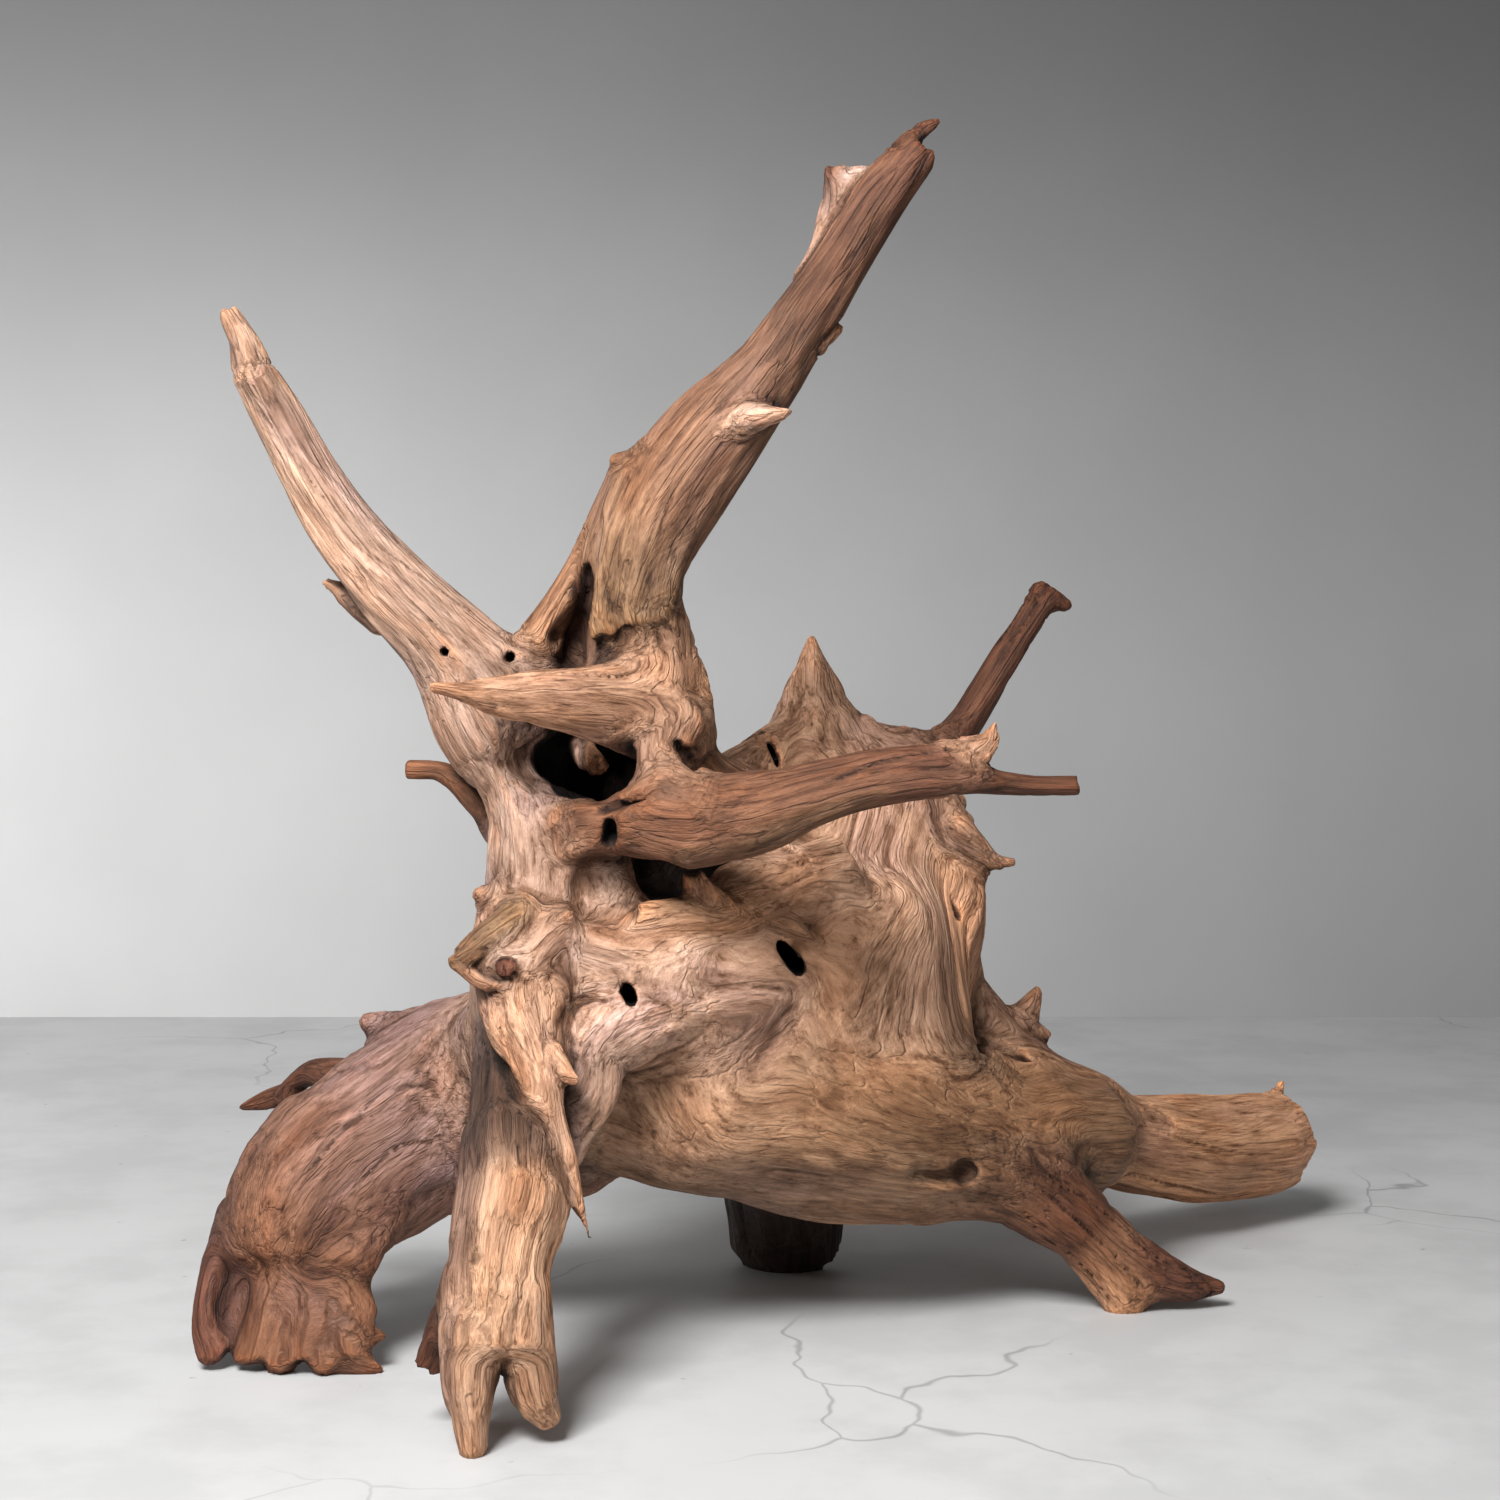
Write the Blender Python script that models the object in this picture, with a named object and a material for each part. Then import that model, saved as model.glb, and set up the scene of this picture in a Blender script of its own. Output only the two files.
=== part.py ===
"""A weathered driftwood root, one piece of wood standing on its own worn feet.

Lengths are metres, +Z is up, the viewer stands at -Y, and the origin is on the floor under the
middle of the piece. The wood is a set of tapering limbs that flow into each other, less a few
rotted hollows. Its surface is found on a grid, ridged along the fibres, and thinned to a light mesh.
"""
import bmesh
import bpy
import numpy as np

VOXEL = 0.008          # grid step at which the surface is found
COARSE = 4             # steps between the points of the first, rough grid
MIDDLE = (0.069, 0.1027, 0.0)   # where the limbs' own frame has the middle of the piece
TRIANGLES = 9500       # what the finished mesh is thinned to
RIDGE = 0.0060         # height of the ridges along the fibres
FINE_RIDGE = 0.0024
LUMP = 0.004           # height of the slow swells
ALONG = 0.09           # how much slower the ridges change along the fibres than across them
REACH = 0.06           # how far from a limb its distance is worked out
FAR = 0.08             # distance taken where no limb is near
UP = (0, 0, 1)


def smooth_route(stops, per_span):
    """Points along a smooth curve through the stops."""
    p = np.asarray(stops, float)
    p = np.vstack([2 * p[0] - p[1], p, 2 * p[-1] - p[-2]])
    t = np.linspace(0, 1, per_span, endpoint=False)[:, None]
    spans = []
    for a, b, c, d in zip(p[:-3], p[1:-2], p[2:-1], p[3:]):
        spans.append(0.5 * (2 * b + (c - a) * t + (2 * a - 5 * b + 4 * c - d) * t ** 2
                            + (3 * b - a - 3 * c + d) * t ** 3))
    return np.vstack(spans + [p[-2][None]])


def unit(v):
    return v / np.maximum(np.linalg.norm(v, axis=1), 1e-9)[:, None]


class Limb:
    """A tapering stem along a smooth route. A stop is x, y, z, half width and half thickness."""

    def __init__(self, stops, wide=(1, 0, 0), blend=0.03, cap=1.0, spans=4, carve=False):
        path = smooth_route([s if len(s) == 5 else s + (s[3],) for s in stops], spans)
        self.blend, self.cap, self.carve = blend, cap, carve
        self.centre = path[:, :3]
        self.half_width = np.maximum(path[:, 3], 0.002)
        self.half_thickness = np.maximum(path[:, 4], 0.002)
        self.along = unit(np.gradient(self.centre, axis=0))
        self.across = self.width_axis(np.asarray(wide, float), spans)
        steps = np.linalg.norm(np.diff(self.centre, axis=0), axis=1)
        self.length = np.concatenate([[0], np.cumsum(steps)])
        radius = np.maximum(self.half_width, self.half_thickness)[:, None]
        self.low = (self.centre - radius).min(0)
        self.high = (self.centre + radius).max(0)

    def width_axis(self, wide, spans):
        """The direction of the width at each point, square to the route."""
        wide = np.repeat(wide[None], len(self.along), 0) if wide.ndim == 1 else smooth_route(wide, spans)
        axis = wide - (wide * self.along).sum(1)[:, None] * self.along
        spare = np.array([0.3, 1.0, 0.2])
        spare = spare - (self.along @ spare)[:, None] * self.along
        return unit(np.where((np.linalg.norm(axis, axis=1) < 0.3)[:, None], spare, axis))

    def near(self, points, reach):
        return np.all((points > self.low - reach) & (points < self.high + reach), axis=1)

    def nearest(self, points):
        """For each point, the nearest segment of the route and the share of the way along it."""
        best = np.full(len(points), np.inf)
        segment = np.zeros(len(points), int)
        share = np.zeros(len(points))
        for k, (a, b) in enumerate(zip(self.centre[:-1], self.centre[1:])):
            w = points - a
            t = np.clip((w @ (b - a)) / ((b - a) @ (b - a)), 0, 1)
            gap = ((w - t[:, None] * (b - a)) ** 2).sum(1)
            closer = gap < best
            best[closer], segment[closer], share[closer] = gap[closer], k, t[closer]
        return segment, share

    def measure(self, points):
        """Distance to the limb, the offset from its middle line, and how far along it each point is."""
        segment, share = self.nearest(points)

        def mixed(values):
            t = share if values.ndim == 1 else share[:, None]
            return values[segment] * (1 - t) + values[segment + 1] * t

        a, b = mixed(self.half_width), mixed(self.half_thickness)
        along = unit(mixed(self.along))
        across = mixed(self.across)
        across = unit(across - (across * along).sum(1)[:, None] * along)
        d = points - mixed(self.centre)
        du, dw = (d * across).sum(1), (d * along).sum(1)
        dv = np.sqrt(np.maximum((d * d).sum(1) - du ** 2 - dw ** 2, 0))
        thin = np.minimum(a, b)
        end = thin * self.cap
        k0 = np.sqrt((du / a) ** 2 + (dv / b) ** 2 + (dw / end) ** 2)
        k1 = np.sqrt((du / a ** 2) ** 2 + (dv / b ** 2) ** 2 + (dw / end ** 2) ** 2)
        distance = np.where(k1 > 1e-9, k0 * (k0 - 1) / np.maximum(k1, 1e-9), -thin)
        return np.maximum(distance, -thin), d - dw[:, None] * along, mixed(self.length) + dw


def smooth_min(a, b, k):
    h = np.maximum(k - np.abs(a - b), 0) / k
    return np.minimum(a, b) - h * h * k / 4


def distance_to_wood(points, limbs):
    """Distance from each point to the wood, below zero inside it. Carving limbs are taken away."""
    out = np.full(len(points), FAR)
    for limb in limbs:
        near = limb.near(points, REACH + limb.blend)
        if near.any():
            d = limb.measure(points[near])[0]
            if limb.carve:
                out[near] = -smooth_min(-out[near], d, limb.blend)
            else:
                out[near] = smooth_min(out[near], d, limb.blend)
    return np.maximum(out, -points[:, 2])


def fibre_frame(points, limbs):
    """Where each point lies across the fibres, slowed along them, so that noise there makes ridges."""
    frame = np.zeros((len(points), 3))
    out = np.full(len(points), FAR)
    for limb in limbs:
        near = limb.near(points, 0.03 + 1.2 * limb.blend)
        if limb.carve or not near.any():
            continue
        d, offset, along = limb.measure(points[near])
        share = np.clip(0.5 + 0.5 * (out[near] - d) / (1.2 * limb.blend), 0, 1)
        share = (share * share * (3 - 2 * share))[:, None]
        frame[near] = frame[near] * (1 - share) + (offset + (ALONG * along)[:, None]) * share
        out[near] = smooth_min(out[near], d, limb.blend * 1.2)
    return frame


def in_pieces(function, points, limbs):
    """Work through many points a part at a time."""
    return np.concatenate([function(p, limbs) for p in np.array_split(points, max(1, len(points) // 200000))])


CORNERS = [(x, y, z) for z in (0, 1) for y in (0, 1) for x in (0, 1)]


def grid_of(limbs):
    """Distances on a grid, exact near the surface and only a sign elsewhere."""
    low = np.min([limb.low for limb in limbs if not limb.carve], 0) - 0.03
    high = np.max([limb.high for limb in limbs if not limb.carve], 0) + 0.03
    low[2] = VOXEL * (np.floor(low[2] / VOXEL) - 0.5)
    step = VOXEL * COARSE
    rough_size = np.ceil((high - low) / step).astype(int) + 1
    axes = [low[i] + step * np.arange(rough_size[i]) for i in range(3)]
    points = np.stack(np.meshgrid(*axes, indexing="ij"), -1).reshape(-1, 3)
    rough = in_pieces(distance_to_wood, points, limbs).reshape(rough_size)
    size = (rough_size - 1) * COARSE + 1
    nearest = [np.minimum((np.arange(n) + COARSE // 2) // COARSE, m - 1) for n, m in zip(size, rough_size)]
    grid = np.where(rough[np.ix_(*nearest)] < 0, -1.0, 1.0)
    close = np.abs(rough) < step * 1.8
    x, y, z = rough_size - 1
    cells = np.zeros(rough_size - 1, bool)
    for i, j, k in CORNERS:
        cells |= close[i:x + i, j:y + j, k:z + k]
    marked = np.zeros(size, bool)
    corner = np.argwhere(cells) * COARSE
    for offset in np.argwhere(np.ones((COARSE + 1,) * 3, bool)):
        marked[tuple((corner + offset).T)] = True
    points = np.argwhere(marked)
    grid[marked] = in_pieces(distance_to_wood, low + VOXEL * points, limbs)
    return grid, low


def joined(corners):
    """Whether these corners of a cell hang together along its edges."""
    if not corners:
        return True
    found, fresh = set(), [corners[0]]
    while fresh:
        corner = fresh.pop()
        found.add(corner)
        fresh += [c for c in corners if c not in found and sum(abs(p - q) for p, q in zip(c, corner)) == 1]
    return len(found) == len(corners)


def untangled(grid):
    """Fill in the corners of cells that the surface would cross in two separate sheets."""
    tangled = np.zeros(256, bool)
    for code in range(256):
        inner = [c for i, c in enumerate(CORNERS) if code >> i & 1]
        tangled[code] = not (joined(inner) and joined([c for c in CORNERS if c not in inner]))
    x, y, z = np.array(grid.shape) - 1
    for _ in range(30):
        inside = grid < 0
        code = sum(inside[i:x + i, j:y + j, k:z + k].astype(int) << n for n, (i, j, k) in enumerate(CORNERS))
        cells = np.argwhere(tangled[code])
        if not len(cells):
            break
        values = np.stack([grid[tuple((cells + c).T)] for c in CORNERS], 1)
        pick = np.where(values < 0, np.inf, values).argmin(1)
        grid[tuple((cells + np.array(CORNERS)[pick]).T)] = -0.1 * VOXEL
    return grid


def surface_points(grid, low, cells):
    """One point in each cell that the surface crosses: the mean of the crossings on its edges."""
    total, hits = np.zeros((len(cells), 3)), np.zeros(len(cells))
    for i, a in enumerate(CORNERS):
        for b in CORNERS[i + 1:]:
            if sum(abs(p - q) for p, q in zip(a, b)) == 1:
                fa = grid[tuple((cells + a).T)]
                fb = grid[tuple((cells + b).T)]
                cut = (fa < 0) != (fb < 0)
                t = np.where(cut, fa / np.where(cut, fa - fb, 1), 0)[:, None]
                total += (np.array(a) * (1 - t) + np.array(b) * t) * cut[:, None]
                hits += cut
    return low + VOXEL * (cells + total / hits[:, None])


def surface_of(grid, low):
    """Points and four-cornered faces of the surface at distance zero."""
    inside = grid < 0
    x, y, z = np.array(grid.shape) - 1
    count = sum(inside[i:x + i, j:y + j, k:z + k].astype(np.int8) for i, j, k in CORNERS)
    crossed = (count > 0) & (count < 8)
    cells = np.argwhere(crossed)
    index = np.full(crossed.shape, -1)
    index[crossed] = np.arange(len(cells))
    faces = []
    for axis in range(3):
        first, second = (axis + 1) % 3, (axis + 2) % 3
        here = np.moveaxis(inside, axis, 0)[:-1]
        there = np.moveaxis(inside, axis, 0)[1:]
        for outward, where in ((True, here & ~there), (False, ~here & there)):
            edges = np.argwhere(np.moveaxis(where, 0, axis))
            edges = edges[(edges[:, first] > 0) & (edges[:, second] > 0)]
            ring = []
            for back in ((0, 0), (1, 0), (1, 1), (0, 1)):
                cell = edges.copy()
                cell[:, first] -= back[0]
                cell[:, second] -= back[1]
                ring.append(index[tuple(cell.T)])
            ring = np.stack(ring, 1)
            faces.append(ring if outward else ring[:, ::-1])
    return surface_points(grid, low, cells), np.vstack(faces)


def scatter(cell, seed):
    """A fixed but patternless value, from -1 to 1, for each cell of a lattice."""
    x, y, z = cell.T
    h = (x * 374761393 + y * 668265263 + z * 2147483647 + seed * 144665) & 0xFFFFFFFF
    h = ((h ^ (h >> 13)) * 1274126177) & 0xFFFFFFFF
    h = ((h ^ (h >> 16)) * 2246822519) & 0xFFFFFFFF
    return ((h ^ (h >> 15)) & 0xFFFF) / 32767.5 - 1


def noise(points, seed):
    """Smooth noise from -1 to 1."""
    base = np.floor(points).astype(np.int64)
    f = points - base
    ease = f * f * f * (f * (f * 6 - 15) + 10)
    total = 0
    for corner in CORNERS:
        weight = np.where(np.array(corner) > 0, ease, 1 - ease).prod(1)
        total = total + weight * scatter(base + np.array(corner), seed)
    return total


def normals_of(points, faces):
    """Outward direction at each point."""
    across = np.cross(points[faces[:, 2]] - points[faces[:, 0]], points[faces[:, 3]] - points[faces[:, 1]])
    total = np.zeros_like(points)
    for k in range(4):
        np.add.at(total, faces[:, k], across)
    return unit(total)


def weathered(points, faces, limbs):
    """Raise ridges along the fibres and slow swells, fading where the wood meets the floor."""
    frame = in_pieces(fibre_frame, points, limbs)
    height = RIDGE * noise(frame * 34, 1) + FINE_RIDGE * noise(frame * 75, 2) + LUMP * noise(points * 14, 3)
    fade = np.clip((points[:, 2] - 0.004) / 0.016, 0, 1)
    return points + normals_of(points, faces) * (height * fade)[:, None]


def trunk():
    """The thick middle: a column rising from the belly, and a wide shield leaning back to the right."""
    return [
        Limb([(-.10, .08, .30, .10, .09), (-.07, .12, .38, .10, .075), (-.07, .12, .44, .08, .06)], blend=.05),
        Limb([(-.15, .02, .36, .07, .07), (-.145, .035, .48, .08, .055), (-.155, .02, .56, .070, .045),
              (-.145, .0, .63, .045, .035), (-.125, -.02, .70, .022, .02)], blend=.05),
        Limb([(-.17, .04, .235, .083, .08), (-.09, .02, .227, .083, .09), (.018, .03, .209, .081, .095),
              (.12, .07, .179, .077, .09), (.22, .13, .157, .068, .07), (.31, .21, .14, .055, .055)],
             wide=UP, blend=.06),
        Limb([(.00, .06, .22, .17, .08), (.045, .085, .30, .165, .07), (.08, .14, .385, .15, .052),
              (.105, .205, .46, .13, .038), (.09, .255, .53, .075, .022)], wide=(.9, .35, 0), blend=.06),
        Limb([(-.18, -.03, .36, .06, .06), (-.10, .0, .34, .08, .07), (.0, .05, .32, .10, .06)], wide=UP, blend=.06),
        Limb([(-.12, -.05, .330, .055, .045), (-.06, -.04, .345, .065, .045), (-.01, -.005, .345, .060, .040),
              (.03, .03, .335, .050, .030)], wide=UP, blend=.04),
        Limb([(-.175, -.04, .44, .04, .045), (-.140, -.035, .41, .045, .045), (-.11, -.03, .37, .045, .045)],
             wide=UP, blend=.04),
        Limb([(-.090, -.050, .33, .050, .045), (-.078, -.052, .28, .060, .050), (-.060, -.045, .22, .06, .05)],
             blend=.05),
        Limb([(.16, .20, .36, .05, .03), (.19, .20, .28, .045, .035), (.24, .20, .20, .05, .04)], blend=.04),
        Limb([(.06, .25, .525, .03, .022), (.02, .22, .51, .035, .024), (-.02, .16, .485, .04, .03)],
             wide=UP, blend=.03),
        Limb([(-.190, -.02, .25, .055, .07), (-.180, -.05, .345, .045, .065), (-.172, -.05, .431, .043, .06),
              (-.186, -.05, .501, .046, .055), (-.213, -.05, .563, .048, .045)], blend=.04),
    ]


def left_branch():
    """The slimmer branch, leaning out to the left, with a snapped tip and two small spurs."""
    return [
        Limb([(-.215, -.05, .563, .052, .045), (-.264, -.04, .628, .040, .038), (-.318, -.03, .682, .034, .032),
              (-.363, -.02, .732, .031, .027), (-.400, -.01, .788, .027, .023), (-.429, 0, .842, .0235, .020),
              (-.450, 0, .885, .019, .017)], blend=.04, cap=.3),
        Limb([(-.446, 0, .880, .017), (-.458, 0, .910, .0125), (-.474, 0, .939, .0065)], blend=.008, cap=.4),
        Limb([(-.345, .0, .668, .016), (-.366, .0, .679, .009), (-.381, .0, .686, .005)], blend=.01),
        Limb([(-.335, .0, .655, .014), (-.355, .005, .664, .008), (-.368, .005, .668, .005)], blend=.01),
    ]


def right_branch():
    """The tall branch, leaning to the right, with broken stubs along it and a split end."""
    return [
        Limb([(-.066, -.03, .541, .035), (-.089, -.05, .599, .040, .042), (-.101, -.06, .652, .0425, .036),
              (-.098, -.06, .704, .0425, .034), (-.069, -.06, .766, .046, .034), (-.030, -.06, .819, .041, .032),
              (.017, -.055, .874, .032, .029), (.052, -.05, .927, .0265, .026), (.086, -.05, .983, .0265, .024),
              (.119, -.05, 1.032, .023, .020), (.150, -.05, 1.066, .018, .017)], blend=.03, cap=.4),
        Limb([(.135, -.05, 1.055, .016), (.155, -.05, 1.080, .010), (.166, -.05, 1.091, .006)], blend=.008, cap=.5),
        Limb([(.140, -.05, 1.045, .018), (.160, -.05, 1.060, .012), (.173, -.05, 1.064, .008)], blend=.008, cap=.5),
        Limb([(.098, -.05, 1.005, .022), (.080, -.055, 1.035, .012), (.074, -.058, 1.056, .011)], blend=.02, cap=.4),
        Limb([(-.025, -.075, .808, .022), (.008, -.09, .828, .014), (.032, -.09, .831, .008)], blend=.015, cap=.5),
        Limb([(.060, -.05, .890, .014), (.080, -.05, .908, .007)], blend=.01),
        Limb([(-.090, -.055, .778, .022), (-.116, -.055, .798, .009)], blend=.015),
        Limb([(-.11, -.05, .784, .012), (-.134, -.055, .731, .014), (-.162, -.055, .678, .015),
              (-.186, -.05, .632, .020), (-.21, -.04, .59, .03)], blend=.015),
        Limb([(-.120, -.085, .715, .011), (-.127, -.09, .675, .012), (-.125, -.095, .640, .012),
              (-.108, -.10, .627, .012), (-.085, -.10, .634, .012), (-.060, -.09, .618, .012)], blend=.015),
        Limb([(-.084, -.05, .610, .027), (-.067, -.04, .572, .020), (-.043, -.02, .530, .016),
              (-.014, .02, .508, .014), (.02, .08, .49, .02)], blend=.012),
    ]


def cross_pieces():
    """The pointed spike and the long bar that cross in front of the trunk, and the small twigs."""
    return [
        Limb([(-.070, -.055, .565, .052, .035), (-.095, -.09, .576, .047, .030), (-.130, -.12, .583, .030, .024),
              (-.177, -.15, .588, .020, .018), (-.222, -.17, .591, .0125), (-.262, -.19, .593, .006)],
             wide=UP, blend=.02),
        Limb([(-.195, -.07, .462, .035), (-.138, -.10, .475, .030), (-.086, -.12, .484, .036),
              (-.043, -.13, .480, .038), (.008, -.14, .488, .036, .03), (.059, -.14, .500, .031, .028),
              (.11, -.14, .514, .027, .024), (.162, -.13, .522, .022, .02), (.204, -.12, .512, .013),
              (.249, -.11, .508, .010), (.290, -.10, .507, .009)], wide=UP, blend=.02, cap=.5),
        Limb([(.155, -.13, .525, .02, .01), (.190, -.13, .543, .014, .007), (.212, -.13, .560, .005)], blend=.01),
        Limb([(.14, .25, .48, .04, .03), (.205, .30, .53, .021), (.240, .31, .58, .0165), (.275, .32, .635, .015),
              (.308, .33, .685, .015)], blend=.04, cap=.4),
        Limb([(.300, .33, .68, .013), (.325, .33, .672, .008)], blend=.008),
        Limb([(.07, .25, .50, .06, .025), (.065, .27, .56, .04, .02), (.063, .28, .605, .018),
              (.063, .28, .634, .006)], blend=.03),
        Limb([(-.215, .0, .455, .018), (-.247, .0, .492, .014), (-.275, .0, .514, .010), (-.309, .0, .518, .009)],
             blend=.012, cap=.4),
    ]


def rim_roots():
    """The worn root that edges the shield on the right, with its thorns."""
    return [
        Limb([(.19, .22, .46, .022), (.205, .21, .41, .020), (.200, .20, .35, .018), (.205, .19, .29, .018),
              (.24, .20, .25, .022), (.285, .22, .21, .022), (.33, .26, .165, .03)], blend=.015),
        Limb([(.20, .2, .44, .025), (.225, .2, .424, .016), (.240, .2, .417, .009), (.258, .2, .416, .005)], blend=.015),
        Limb([(.245, .22, .24, .03), (.270, .22, .262, .016), (.285, .22, .286, .005)], blend=.015),
        Limb([(.255, .22, .24, .02), (.285, .22, .245, .010), (.294, .22, .243, .006)], blend=.01),
    ]


def front_leg():
    """The leg that stands forward on three worn toes, and the splintered snout above it."""
    return [
        Limb([(-.195, -.05, .307, .05), (-.195, -.12, .249, .038), (-.197, -.19, .195, .035),
              (-.198, -.24, .149, .038), (-.200, -.28, .103, .042, .035), (-.205, -.30, .062, .040, .03)], blend=.04),
        Limb([(-.205, -.29, .10, .028), (-.212, -.303, .05, .021), (-.212, -.312, .009, .0165)], blend=.02),
        Limb([(-.19, -.28, .11, .028), (-.175, -.285, .06, .024), (-.165, -.285, .030, .018)], blend=.012),
        Limb([(-.225, -.26, .12, .026), (-.245, -.265, .08, .020), (-.262, -.27, .055, .014)], blend=.015),
        Limb([(-.19, -.09, .385, .05), (-.215, -.13, .375, .035, .03), (-.235, -.15, .365, .018, .016)],
             blend=.03, cap=.6),
        Limb([(-.200, -.10, .375, .045), (-.187, -.15, .33, .034, .03), (-.175, -.18, .285, .025),
              (-.160, -.20, .238, .018), (-.146, -.215, .192, .011), (-.128, -.22, .146, .006)], blend=.02),
        Limb([(-.105, -.06, .36, .035, .03), (-.115, -.09, .325, .033, .026), (-.120, -.11, .285, .026, .022),
              (-.135, -.12, .235, .018), (-.148, -.13, .200, .010)], blend=.045),
        Limb([(-.112, -.075, .375, .012), (-.095, -.09, .390, .010), (-.073, -.09, .406, .010),
              (-.050, -.08, .430, .011)], blend=.012),
        Limb([(-.050, -.08, .420, .014), (-.010, -.05, .397, .012), (.027, -.02, .380, .010), (.060, .0, .356, .008)],
             blend=.015),
    ]


def left_foot():
    """The heavy foot on the left: a bent root ending in a curled rim."""
    return [
        Limb([(-.178, .08, .213, .10, .07), (-.259, .05, .204, .092, .065), (-.319, .02, .187, .085, .06),
              (-.370, -.03, .152, .075, .052), (-.402, -.05, .108, .062, .045), (-.410, -.07, .070, .055, .035)],
             wide=[(-.1, 0, 1), (-.2, 0, 1), (-.4, 0, .9), (-.7, 0, .7), (-1, 0, .3), (-1, 0, 0)], blend=.05),
        Limb([(-.405, -.03, .13, .035), (-.452, -.04, .080, .022), (-.475, -.05, .045, .016), (-.45, -.07, .014, .020),
              (-.40, -.085, .012, .021), (-.350, -.09, .013, .015), (-.330, -.09, .008, .009)], blend=.025),
        Limb([(-.37, -.08, .065, .03), (-.345, -.09, .048, .016), (-.320, -.09, .040, .005)], blend=.015),
        Limb([(-.37, -.08, .085, .02), (-.345, -.08, .070, .008), (-.332, -.08, .066, .005)], blend=.01),
        Limb([(-.32, .06, .235, .035), (-.37, .09, .222, .028), (-.42, .11, .205, .018), (-.455, .12, .195, .010),
              (-.478, .12, .188, .005)], blend=.02),
        Limb([(-.39, .09, .225, .016), (-.425, .11, .222, .010)], blend=.01),
        Limb([(-.28, .08, .265, .03), (-.32, .09, .265, .022), (-.345, .10, .272, .012), (-.362, .10, .280, .006)],
             blend=.03),
    ]


def right_legs():
    """The short right leg, the long log behind it, and the leg and broken roots at the back."""
    return [
        Limb([(.12, .08, .18, .06), (.237, .09, .135, .044), (.294, .10, .098, .036), (.351, .11, .058, .032),
              (.395, .11, .032, .026), (.436, .11, .022, .012)], blend=.04),
        Limb([(.33, .11, .06, .026), (.353, .11, .014, .023)], blend=.02),
        Limb([(.25, .16, .17, .05), (.308, .22, .146, .048), (.392, .32, .114, .050), (.475, .40, .093, .057),
              (.545, .46, .087, .054), (.588, .495, .088, .045)], blend=.04, cap=.5),
        Limb([(.02, .14, .22, .07), (.03, .24, .14, .05), (.04, .33, .06, .036), (.045, .37, .014, .029)], blend=.05),
        Limb([(-.08, .12, .38, .06), (-.12, .22, .40, .045), (-.14, .30, .42, .032)], blend=.05, cap=.3),
        Limb([(.10, .2, .30, .06), (.14, .28, .33, .04), (.16, .36, .38, .028)], blend=.04, cap=.3),
    ]


def hollows():
    """The rotted hollows, the scoop under the curled foot, and the groove beside the rim."""
    return [
        Limb([(-.135, -.14, .525, .050, .030), (-.140, -.09, .525, .05, .030), (-.140, -.03, .52, .045, .03),
              (-.13, .02, .50, .03)], blend=.012, carve=True),
        Limb([(-.085, -.14, .428, .040, .026), (-.070, -.08, .43, .048, .030), (-.05, -.02, .435, .05, .03),
              (-.02, .04, .44, .035)], blend=.012, carve=True),
        Limb([(-.150, -.085, .636, .019, .045), (-.146, -.082, .664, .013, .04), (-.140, -.08, .69, .007, .03)],
             blend=.008, carve=True),
        Limb([(.030, -.08, .36, .017, .009), (.033, .0, .355, .017, .009), (.035, .07, .345, .010, .008)],
             wide=(-.5, 0, 1), blend=.008, carve=True),
        Limb([(.158, -.04, .140, .018, .011), (.160, .0, .145, .016, .010), (.162, .03, .15, .009)],
             blend=.012, carve=True),
        Limb([(.203, .0, .138, .016, .010), (.205, .04, .142, .014, .009), (.205, .07, .145, .008)],
             blend=.012, carve=True),
        Limb([(-.43, -.17, .10, .03, .03), (-.435, -.12, .085, .03, .022), (-.43, -.10, .075, .03, .02)],
             blend=.03, carve=True),
        Limb([(.178, .14, .40, .005), (.176, .13, .33, .008), (.186, .12, .27, .010), (.215, .14, .225, .010),
              (.25, .15, .20, .008)], blend=.012, carve=True),
        Limb([(-.140, -.15, .415, .030, .034), (-.135, -.12, .408, .032, .034)], blend=.03, carve=True),
    ]


def largest_part(mesh):
    """Keep the largest joined part of the mesh and drop loose crumbs."""
    bm = bmesh.new()
    bm.from_mesh(mesh)
    left, parts = set(bm.verts), []
    while left:
        part, edge = set(), [left.pop()]
        while edge:
            v = edge.pop()
            part.add(v)
            for e in v.link_edges:
                other = e.other_vert(v)
                if other in left:
                    left.discard(other)
                    edge.append(other)
        parts.append(part)
    parts.sort(key=len)
    bmesh.ops.delete(bm, geom=[v for part in parts[:-1] for v in part], context="VERTS")
    bm.to_mesh(mesh)
    bm.free()


def thinned(obj, triangles):
    """Collapse edges until about this many triangles are left, keeping the shape."""
    obj.data.calc_loop_triangles()
    thin = obj.modifiers.new("thin", "DECIMATE")
    thin.ratio = triangles / len(obj.data.loop_triangles)
    thin.use_collapse_triangulate = True
    bpy.context.view_layer.update()
    seen = obj.evaluated_get(bpy.context.evaluated_depsgraph_get())
    mesh = bpy.data.meshes.new_from_object(seen)
    obj.modifiers.clear()
    obj.data = mesh


def settle(mesh):
    """Press the worn toes flat on the floor."""
    for v in mesh.vertices:
        if v.co.z < 0.0025:
            v.co.z = 0.0


def wood_material():
    """Dry, weathered brown wood."""
    material = bpy.data.materials.new("driftwood")
    material.use_nodes = True
    shader = material.node_tree.nodes["Principled BSDF"]
    shader.inputs["Base Color"].default_value = (0.38, 0.24, 0.14, 1)
    shader.inputs["Roughness"].default_value = 0.75
    material.diffuse_color = (0.38, 0.24, 0.14, 1)
    return material


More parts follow.
